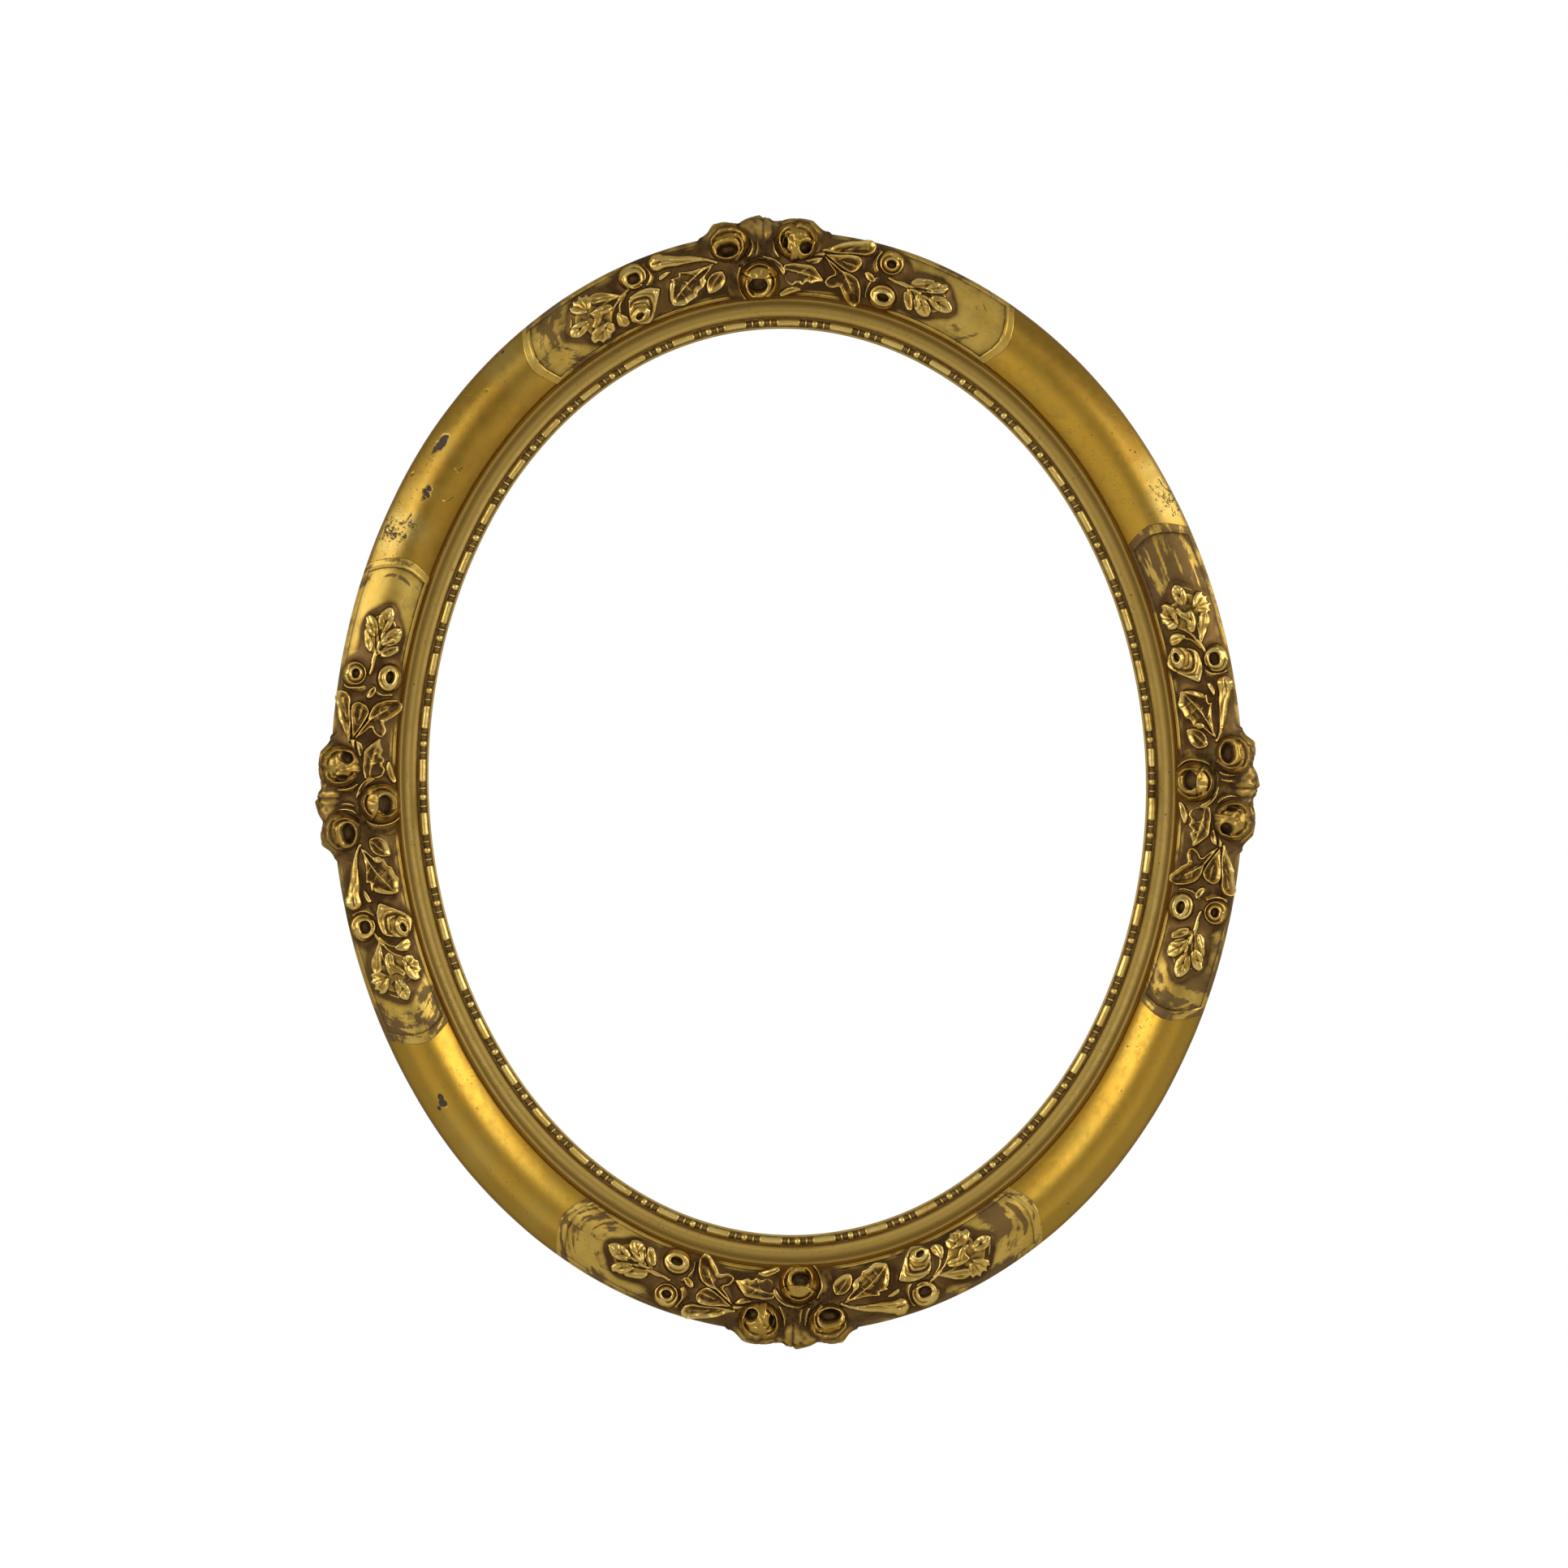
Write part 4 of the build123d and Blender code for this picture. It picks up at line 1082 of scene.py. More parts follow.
def rose_b(u, v):
    f1, p1 = hole(u, v, -6.2, 0.6, 1.7, 3.4, 6, 3.0, 0.45, 0.4)
    f2, p2 = hole(u, v, 4.4, -1.8, 2.9, 3.4, -20, 6.0, 0.65, 0.30)
    f = f1 + f2 + 0.38 * np.sin(2.0 * u + 1.1 * v) * smooth(v, -4.0, -1.0) * smooth(v, 5.0, 3.0) * smooth(2.5 - np.abs(u + 1.2), 0, 1.5)
    f = f + 0.75 * bell(u + 1.7 - 0.10 * v, 0.95) * smooth(v, 4.0, 1.0)
    f = f - 0.45 * bell(u - 0.9, 0.8) * smooth(v, 4.0, 0.0)
    f = f + edge_of(u, v, 0.6, 0.0, 7.2, 125, 238, 1.0, 0.7, 0.9)
    f = f + edge_of(u, v, 1.0, 0.5, 9.0, 118, 225, 0.8, 0.6, 0.8)
    f = f + edge_of(u, v, 0.0, 0.8, 7.8, -35, 95, 0.8, 0.6, 0.8)
    f = f + 0.6 * smooth(v, 3.4, 4.6) * smooth(6.0 - np.abs(u), 0, 3) * smooth(v, 9, 6)
    f = f + 0.28 * noise(u, v, 2.6, 72) + 0.45 * smooth(v, 2.0, 5.0) * noise(u, v, 1.9, 172)
    return f, p1 + p2


def rose_c(u, v):
    q = ellipse_q(u, v, -0.7, -3.0, 4.9, 3.9)
    pit = 7.0 * smooth(q, 1.08, 0.84)
    th = np.degrees(np.arctan2(v + 3.0, u + 0.4))
    low = smooth(180 - np.abs((th + 110 + 180) % 360 - 180), 40, 130)
    f = (0.35 + 0.95 * low) * bell(q - 1.36, 0.20)
    # the lid: a broad petal that hangs over the opening from above
    lid = v - (0.6 + 5.2 * (u / 9.5) ** 2 * np.where(u < 0, 1.0, 0.35))
    f = f + 1.0 * smooth(lid, -0.3, 0.5) * smooth(v, 8.6, 6.0)
    f = f + 0.35 * bell(lid - 0.7, 0.6) * smooth(10 - np.abs(u), 0, 2)
    f = f - 0.5 * bell(u - 1.4 - 0.12 * v, 0.38) * smooth(v, 1.5, 3.5) * smooth(v, 8.0, 6.0)
    f = f + edge_of(u, v, 0.2, -1.5, 6.8, 150, 245, 0.9, 0.6, 0.9)
    f = f + edge_of(u, v, 0.2, -1.0, 8.0, -70, 45, 0.8, 0.5, 0.8)
    f = f + edge_of(u, v, 0.3, -0.3, 8.4, 50, 145, 0.9, 0.6, 1.0)
    for bu, bv, br in ((4.6, 2.9, 1.5), (-0.4, 3.6, 1.4), (-4.6, 4.2, 1.5)):
        f = f + 0.7 * bell(np.hypot(u - bu, v - bv), br)
    f = f + 0.22 * noise(u, v, 2.4, 73)
    return f, pit


def bud_d(u, v):
    q = ellipse_q(np.sign(u) * np.abs(u) ** 1.0, v, 0.0, 0.2, 3.2, 3.0)
    sq = (np.abs(u / 3.2) ** 3.2 + np.abs((v - 0.2) / 3.0) ** 3.2) ** (1 / 3.2)
    q = 0.4 * q + 0.6 * sq
    pit = 5.0 * smooth(q, 1.10, 0.78)
    th = np.degrees(np.arctan2(v, u))
    low = smooth(180 - np.abs((th + 130 + 180) % 360 - 180), 40, 130)
    f = (0.15 + 0.6 * low) * bell(q - 1.38, 0.25)
    f = f + edge_of(u, v, 0.3, 0.3, 5.3, 150, 300, 0.4, 0.35, 0.45)
    f = f + edge_of(u, v, 0.3, 0.5, 5.6, -40, 90, 0.35, 0.3, 0.4)
    return f + 0.07 * noise(u, v, 2.0, 74), pit


def bud_k(u, v):
    f, pit = hole(u, v, 0.2, 0.2, 2.3, 2.2, 0, 4.5, 0.75, 0.30)
    f = f + edge_of(u, v, 0.2, 0.2, 5.0, 100, 420, 0.35, 0.45, 0.5)
    return f + 0.06 * noise(u, v, 2.0, 75), pit


def bud_l(u, v):
    q = ellipse_q(u, v, 0.4, -1.4, 3.2, 2.2)
    pit = 5.0 * smooth(q, 1.12, 0.78)
    f = 0.30 * bell(q - 1.35, 0.25)
    bowl = ellipse_q(u, v, 0.0, 0.0, 7.0, 5.4)
    f = f + 0.55 * bell(bowl - 0.93, 0.11) - 0.75 * smooth(bowl, 0.86, 0.6)
    f = f + 0.45 * bell(ellipse_q(u, v, 0.2, -0.6, 4.7, 3.4) - 1.0, 0.13) * smooth(v, -1.5, 0.8)
    return f + 0.06 * noise(u, v, 2.0, 76), pit


def carve(c):
    # ---- left end: leaves, stems and the closed bud
    c.stem([(-69.0, 37.0), (-74, 38.2), (-80, 38.0), (-85, 36.5)], 1.0, 0.8, 1.9)
    c.stem([(-69.5, 36.5), (-75, 35.2), (-79, 32.0), (-82, 27.5)], 0.9, 0.6, 1.6)
    c.stem([(-69.5, 36.5), (-74, 33.5), (-76, 29.0)], 0.8, 0.5, 1.4)
    # striated bract that runs from the crown leaf to the bud
    c.leaf([(-86.5, 44.2), (-82.0, 45.4), (-77.5, 43.2), (-73.5, 39.8), (-70.3, 37.2), (-74.5, 36.9), (-80.0, 38.6), (-86.0, 40.2)],
           1.7, 0.2, 0.2, mid=[(-70.5, 37.3), (-77, 40.2), (-86, 43.6)], rib=0.35,
           veins=[[(-71, 37.2), (-78, 39.2), (-86, 41.2)], [(-71, 37.6), (-77, 41.6), (-84, 44.4)]], vein=0.4)
    c.lobe([(-103, 32.6), (-99, 36.4), (-95.4, 41.6), (-89, 43.6), (-83.4, 42.4), (-79, 38.4), (-77.6, 33.4), (-81.4, 28), (-84, 23.4),
            (-91, 23.2), (-94.6, 26.4), (-95.6, 31)], 1.7, 0.6, 1.6, rounds=1)
    # crown leaf
    c.lobe([(-97.2, 42.3), (-96.2, 45.6), (-94.6, 44.4), (-93.4, 47.4), (-91.4, 45.6), (-89.2, 48.2), (-87.8, 45.7), (-85.6, 46.9),
            (-84.6, 43.0), (-86.6, 39.6), (-90.0, 37.8), (-94.4, 39.2)], 2.7, 0.9, 2.0, rounds=1,
           veins=[[(-89.6, 39.0), (-93.6, 44.2)], [(-89.4, 39.0), (-90.2, 45.6)], [(-89.2, 39.0), (-86.6, 44.6)]])
    # left oval leaf, with its spike
    c.lobe([(-104.6, 32.6), (-102.6, 35.8), (-99.2, 37.2), (-94.8, 36.9), (-91.8, 35.2), (-92.2, 32.2), (-96.0, 29.9), (-101.0, 29.6)],
           2.5, 1.0, 2.2, veins=[[(-92.6, 34.2), (-97.5, 33.4), (-103.2, 32.6)], [(-97.5, 33.4), (-100.2, 35.6)], [(-97.5, 33.4), (-100.0, 31.0)]])
    c.stem([(-101.2, 36.6), (-99.2, 39.4), (-98.2, 40.6)], 0.55, 0.25, 1.2)
    # centre leaf
    c.lobe([(-89.6, 37.2), (-86.0, 38.2), (-81.6, 38.0), (-77.6, 36.2), (-77.2, 33.6), (-80.4, 32.4), (-84.0, 33.2), (-86.4, 30.4),
            (-90.8, 28.6), (-92.6, 31.0), (-88.6, 33.4)], 2.7, 0.9, 2.0, rounds=2,
           veins=[[(-78.4, 35.2), (-84.0, 35.6), (-88.6, 36.2)], [(-84.0, 35.6), (-87.6, 32.0), (-90.6, 30.2)]])
    # large lower leaf
    c.lobe([(-96.4, 25.6), (-94.0, 28.4), (-90.0, 30.0), (-86.4, 29.4), (-83.0, 29.2), (-81.0, 26.8), (-81.6, 23.2), (-84.6, 22.8),
            (-86.0, 20.9), (-89.0, 21.6), (-91.4, 20.8), (-92.6, 23.2), (-95.6, 22.8)], 2.8, 0.9, 2.1, rounds=1,
           veins=[[(-82.8, 28.4), (-88.0, 26.0), (-94.6, 25.0)], [(-86.4, 27.0), (-88.0, 22.4)], [(-88.4, 26.0), (-91.0, 22.6)], [(-86.0, 27.0), (-84.0, 24.2)]])
    # small leaf by the closed bud
    c.lobe([(-80.0, 24.2), (-79.2, 28.0), (-76.6, 31.2), (-74.6, 29.0), (-72.6, 25.4), (-72.8, 22.6), (-76.4, 21.8)], 2.4, 0.9, 1.9,
           veins=[[(-76.6, 30.0), (-76.2, 25.8), (-75.6, 22.8)]])
    # ---- closed bud: pointed sepal, two nested chevrons, the eye
    c.leaf([(-68.6, 34.8), (-63.0, 36.2), (-57.0, 36.0), (-50.6, 33.4), (-53.0, 29.4), (-56.2, 25.4), (-60.0, 20.6), (-63.6, 18.4),
            (-70.0, 20.6), (-73.0, 24.0), (-71.0, 29.6)], 3.0, 0.25, 0.0, slope=(0.045, 0.02), rounds=1, edge=0.8)
    c.groove([(-70.6, 29.4), (-66.4, 32.6), (-58.8, 31.4), (-58.6, 27.0), (-61.6, 22.4)], 0.75, 1.15)
    c.groove([(-67.0, 30.4), (-61.4, 29.6), (-60.4, 26.4)], 0.45, 0.55)
    c.groove([(-69.0, 34.0), (-62.4, 34.4), (-55.8, 31.8), (-56.6, 27.4)], 0.40, 0.45)
    c.ridge([(-54.6, 31.6), (-55.6, 27.8), (-58.6, 23.6)], 0.75, 0.75, 0.3)
    c.lobe([(-73.0, 24.0), (-70.2, 27.2), (-66.0, 28.8), (-61.8, 27.6), (-59.6, 24.8), (-62.0, 22.0), (-66.2, 20.8), (-70.4, 21.8)],
           4.1, 1.5, 3.4)
    c.H -= 2.6 * smooth(ellipse_q(c.S, c.D, -66.8, 24.6, 2.1, 1.25, 8), 1.25, 0.7)
    c.H += 0.45 * bell(ellipse_q(c.S, c.D, -66.6, 24.6, 2.1, 1.25, 8) - 1.6, 0.3)
    c.pit = np.maximum(c.pit, smooth(ellipse_q(c.S, c.D, -66.8, 24.6, 2.1, 1.25, 8), 1.15, 0.7))

    # ---- serrated leaf, and the small leaf beside the lower rose
    c.leaf([(-21.0, 37.8), (-26.5, 37.2), (-32.2, 36.6), (-36.0, 37.0), (-40.6, 38.0), (-40.2, 35.6), (-45.6, 35.8), (-43.6, 33.0),
            (-46.6, 29.0), (-49.0, 23.4), (-44.8, 22.4), (-41.0, 21.6), (-37.6, 23.0), (-33.8, 23.8), (-32.6, 26.2), (-28.6, 27.4),
            (-27.6, 31.8), (-24.6, 34.2)],
           2.7, 0.75, 1.25, mid=[(-20.5, 38.0), (-28.3, 35.2), (-34.4, 32.4), (-40.5, 28.6), (-46.4, 24.6)], rib=1.05,
           veins=[[(-36.5, 31.2), (-40.5, 33.4), (-44.6, 34.6)], [(-31.5, 33.6), (-35.0, 35.4), (-39.6, 36.8)],
                  [(-33.5, 32.6), (-30.6, 30.4), (-29.4, 28.2)], [(-38.5, 30.0), (-36.6, 27.0), (-33.6, 25.0)],
                  [(-42.0, 27.6), (-40.6, 25.0), (-39.2, 22.8)]], vein=0.45)
    c.lobe([(-27.8, 33.2), (-30.8, 31.6), (-31.2, 28.6), (-29.2, 27.0), (-26.8, 29.4)], 3.1, 0.8, 1.6, base=GROUND,
           veins=[[(-28.0, 32.4), (-29.8, 28.4)]])
    c.lobe([(-45.4, 34.8), (-42.8, 33.2), (-45.2, 28.2), (-47.0, 23.8), (-49.2, 24.0), (-47.8, 29.8)], 3.2, 0.7, 1.3)
    c.leaf([(-17.6, 33.6), (-22.6, 33.4), (-26.2, 31.2), (-28.2, 27.4), (-28.0, 23.6), (-23.6, 23.8), (-19.4, 25.2), (-16.6, 28.4)],
           2.3, 0.65, 1.0, mid=[(-17.5, 33.0), (-22.5, 29.2), (-26.6, 25.0)], rib=0.4)
    # ---- long closed bud with ribs
    c.stem([(-49.2, 45.2), (-44.6, 44.9), (-39.0, 43.2), (-33.0, 42.6), (-26.8, 41.0)], 4.1, 1.2, 4.9, 2.6)
    c.stem([(-48.6, 46.4), (-47.0, 46.6)], 3.4, 3.0, 5.4, 5.0)
    c.groove([(-50.6, 44.6), (-44.0, 44.4), (-38.0, 42.4), (-27.2, 40.9)], 0.5, 0.9)
    c.groove([(-47.0, 43.4), (-40.0, 42.4), (-32.0, 41.0)], 0.32, 0.6)
    c.ridge([(-46.0, 44.6), (-38.0, 43.2), (-28.0, 41.4)], 0.38, 0.5, 0.2)
    c.ridge([(-52.4, 49.0), (-48.0, 50.0), (-43.0, 48.4)], 0.6, 0.35)
    c.groove([(-53.4, 44.0), (-54.6, 46.8), (-53.6, 50.2)], 0.6, 0.9)
    # ---- right of the roses
    c.leaf([(12.6, 33.6), (18.0, 35.0), (24.0, 34.6), (28.6, 34.2), (32.0, 30.6), (35.6, 26.8), (31.4, 26.0), (28.2, 24.2), (26.0, 25.6),
            (23.6, 22.8), (21.0, 24.6), (18.0, 22.4), (14.0, 24.6)],
           2.3, 0.45, 0.8, mid=[(14.0, 31.5), (24.0, 29.6), (34.0, 27.2)], rib=0.45,
           veins=[[(22.5, 29.8), (26.6, 33.0)], [(21.0, 29.8), (22.6, 25.0)], [(26.0, 29.2), (28.2, 26.0)]], vein=0.5)
    # upper leaf: two lobes with turned tips
    c.leaf([(30.6, 41.6), (36.0, 43.8), (42.9, 47.2), (50.0, 48.4), (55.0, 49.8), (58.0, 48.0), (57.4, 44.6), (54.6, 42.6),
            (48.6, 42.0), (40.0, 41.0)],
           3.1, 0.85, 1.1, mid=[(31.0, 41.5), (42.0, 43.6), (54.0, 46.4)], rib=0.35, slope=(0.03, 0.0),
           veins=[[(40.0, 43.0), (46.0, 46.8)], [(45.0, 44.2), (51.0, 47.6)]], vein=0.4)
    c.leaf([(33.0, 40.6), (40.0, 40.8), (46.4, 41.8), (51.2, 41.4), (53.4, 38.6), (51.6, 34.6), (48.2, 32.6), (44.2, 34.0), (38.6, 36.8)],
           2.8, 0.75, 1.15, mid=[(34.0, 39.6), (42.6, 38.2), (50.6, 36.6)], rib=0.4, slope=(0.03, 0.0),
           veins=[[(41.0, 38.6), (46.4, 40.6)], [(44.0, 38.0), (47.6, 34.8)]], vein=0.35)
    # lower leaf: two lobes and a long rib
    c.leaf([(33.0, 39.8), (38.0, 36.8), (43.2, 33.6), (48.6, 32.8), (52.6, 31.0), (55.4, 26.6), (56.6, 21.0), (54.6, 16.6), (51.0, 17.2),
            (48.0, 19.8), (45.0, 23.0), (43.6, 25.2), (39.6, 23.6), (36.4, 24.4), (35.0, 26.4), (37.4, 29.6), (40.6, 31.4), (37.0, 34.6)],
           2.8, 0.85, 1.2, mid=[(32.8, 40.0), (39.8, 35.8), (45.4, 31.3), (50.4, 24.4)], rib=1.15,
           veins=[[(43.0, 33.2), (40.0, 29.0), (37.4, 26.2)], [(46.6, 29.8), (44.6, 27.0)], [(48.0, 28.0), (52.2, 27.6)], [(49.6, 25.6), (52.6, 22.4)]], vein=0.4)
    # ---- far right leaf: stem, two dark slits, four rounded lobes
    c.lobe([(77.6, 34.0), (80.6, 38.4), (86.4, 40.8), (92.6, 41.2), (97.0, 39.0), (102.0, 33.4), (99.6, 29.6), (94.4, 26.0), (89.0, 24.4),
            (83.6, 25.0), (79.4, 28.2)], 1.8, 0.6, 1.6, rounds=1)
    c.stem([(73.6, 34.6), (78.0, 34.4), (84.0, 33.4), (90.0, 32.4)], 1.5, 1.4, 2.6)
    c.lobe([(78.4, 36.4), (80.2, 39.8), (84.4, 41.4), (89.6, 42.6), (91.0, 40.4), (86.6, 38.4), (82.6, 36.0)], 2.4, 0.8, 1.7,
           veins=[[(80.4, 37.6), (88.8, 41.4)], [(80.0, 38.6), (86.0, 41.4)]])
    c.lobe([(86.4, 36.2), (88.0, 39.8), (91.4, 42.6), (94.0, 42.2), (95.6, 43.4), (98.0, 41.4), (96.8, 38.0), (93.6, 36.0), (89.6, 34.8)],
           3.0, 0.95, 2.1, veins=[[(88.0, 36.4), (92.4, 39.2), (96.6, 41.6)], [(92.4, 39.2), (93.2, 41.8)]])
    c.lobe([(90.4, 34.8), (94.6, 36.8), (99.4, 36.8), (103.4, 34.2), (104.6, 31.6), (101.6, 29.2), (96.6, 28.8), (93.0, 29.8), (90.4, 31.6)],
           2.9, 0.95, 2.1, veins=[[(91.4, 33.2), (97.0, 32.6), (103.4, 32.0)], [(95.4, 32.8), (99.2, 35.2)], [(96.0, 32.6), (99.0, 30.2)]])
    c.lobe([(83.4, 33.0), (87.6, 32.6), (91.6, 30.8), (94.6, 27.8), (95.0, 24.4), (92.0, 23.0), (88.4, 23.2), (85.4, 25.2), (83.2, 28.6)],
           3.1, 1.0, 2.3, veins=[[(84.8, 31.8), (89.0, 28.2), (93.4, 24.6)], [(87.4, 29.8), (91.8, 29.2)], [(88.6, 28.4), (88.0, 24.8)]])
    c.leaf([(77.2, 31.8), (80.6, 31.6), (83.6, 28.4), (85.4, 24.2), (82.4, 23.2), (79.0, 26.0), (77.4, 29.0)], 2.2, 0.6, 0.8,
           mid=[(78.2, 31.0), (82.6, 25.2)], rib=0.3)
    c.groove([(78.8, 33.6), (84.6, 35.4), (90.0, 36.4)], 0.38, 1.0)
    c.groove([(86.2, 33.4), (89.6, 34.6), (91.4, 34.0)], 0.45, 1.2)
    c.groove([(81.0, 32.4), (84.6, 29.6), (86.0, 26.4)], 0.40, 0.9)

    # ---- outer petals that lie round the balls
    c.petals(-12.8, 45.2, [(10.6, -46, 44, 3.2, 1.9), (13.4, -34, 30, 2.0, 1.5)], GROUND)
    c.petals(19.9, 45.2, [(11.6, 136, 226, 3.0, 1.9)], GROUND)
    c.petals(0.4, 25.9, [(11.4, 132, 232, 3.2, 2.0), (11.4, 52, 124, 2.6, 1.8)], GROUND)
    c.petals(66.8, 42.5, [(7.4, 136, 230, 2.6, 1.6)], GROUND)
    c.petals(67.4, 25.4, [(9.4, 120, 206, 1.8, 1.3)], GROUND)
    c.petals(-62.0, 43.0, [(8.0, -60, 40, 2.2, 1.7)], GROUND)
    # leaf folds that fill the ground between the flowers
    c.leaf([(2.0, 38.6), (8.0, 37.6), (12.4, 34.6), (14.8, 30.2), (12.8, 27.6), (10.6, 32.0), (6.0, 35.6)], 1.8, 0.5, 0.5,
           mid=[(3.0, 38.2), (9.6, 35.6), (13.6, 29.4)], rib=0.4)
    c.leaf([(24.0, 36.2), (29.0, 38.2), (33.6, 38.6), (31.8, 35.4), (27.4, 34.0)], 1.7, 0.4, 0.5, mid=[(24.6, 36.0), (32.6, 37.6)], rib=0.4)
    c.stem([(33.0, 40.4), (28.4, 39.4), (24.0, 37.6)], 1.3, 0.8, 2.2)
    c.stem([(-20.5, 38.2), (-24.8, 40.4), (-27.5, 41.0)], 1.3, 0.9, 2.4)
    c.leaf([(56.6, 36.0), (60.2, 34.4), (62.4, 31.6), (59.8, 30.4), (56.4, 31.8), (54.8, 34.4)], 2.0, 0.5, 0.6, mid=[(62.0, 32.0), (56.0, 35.0)], rib=0.4)
    c.leaf([(-50.6, 38.6), (-46.0, 40.0), (-42.8, 39.0), (-46.4, 37.2), (-50.4, 36.0)], 1.9, 0.4, 0.5, mid=[(-50.4, 37.2), (-43.4, 38.8)], rib=0.4)
    c.stem([(-73.0, 36.0), (-69.6, 37.6), (-66.0, 38.8)], 1.2, 1.0, 2.4)
    c.stem([(76.0, 34.8), (71.6, 34.4), (68.0, 35.2)], 1.4, 1.0, 2.6)
    c.leaf([(14.4, 21.4), (10.6, 18.8), (12.0, 16.6), (18.6, 19.0), (24.0, 21.6), (19.0, 22.8)], 1.3, 0.3, 0.3, mid=[(12.2, 18.0), (22.6, 21.6)], rib=0.3)
    # ---- thick soft flange that carries the upper roses over the outer side
    turn = np.degrees(c.PHI)
    sway = 1.6 * noise(c.S, turn * 0.3, 7.0, 81)
    mass = smooth(c.S, -26.0, -17.5) * smooth(c.S, 34.0, 25.0) * smooth(turn, -30.0, 2.0) * smooth(turn, 74.0, 44.0)
    lumps = 1.05 * noise(c.S, turn * 0.4, 5.0, 82) + 0.45 * noise(c.S, turn * 0.4, 2.2, 83)
    fold = -0.9 * bell(c.S + 5.6 + 0.03 * turn + 0.5 * sway, 1.7) - 0.8 * bell(c.S - 9.4 + 0.02 * turn + 0.5 * sway, 1.7)
    fold = fold + 0.9 * bell(c.S + 13.0, 5.5) + 0.7 * bell(c.S - 19.0, 6.0)
    fold = fold + 0.55 * bell(c.S - 1.0 + sway, 1.0) - 0.6 * bell(c.S - 3.4 + sway, 0.8)
    crown = 1.7 * bell(c.S - 2.0, 6.4) * smooth(turn, -20.0, 10.0) * smooth(turn, 66.0, 40.0)
    z = GROUND + mass * (5.1 + lumps + fold + crown)
    up = (mass > 0.04) & (z > c.H)
    c.H = np.where(up, z, c.H)
    c.motif = np.where(up, 1.0, c.motif)
    # ---- the balls
    c.ball(-62.0, 43.0, 32.4, 7.5, bud_d)
    c.ball(66.8, 42.5, 32.4, 6.9, bud_k)
    c.ball(67.3, 25.4, 31.4, 7.3, bud_l, squash=(1.1, 1.0))
    c.ball(-12.8, 45.2, 33.0, 9.9, rose_a)
    c.ball(19.9, 45.2, 33.0, 10.5, rose_b)
    c.ball(0.4, 25.9, 33.4, 10.7, rose_c)


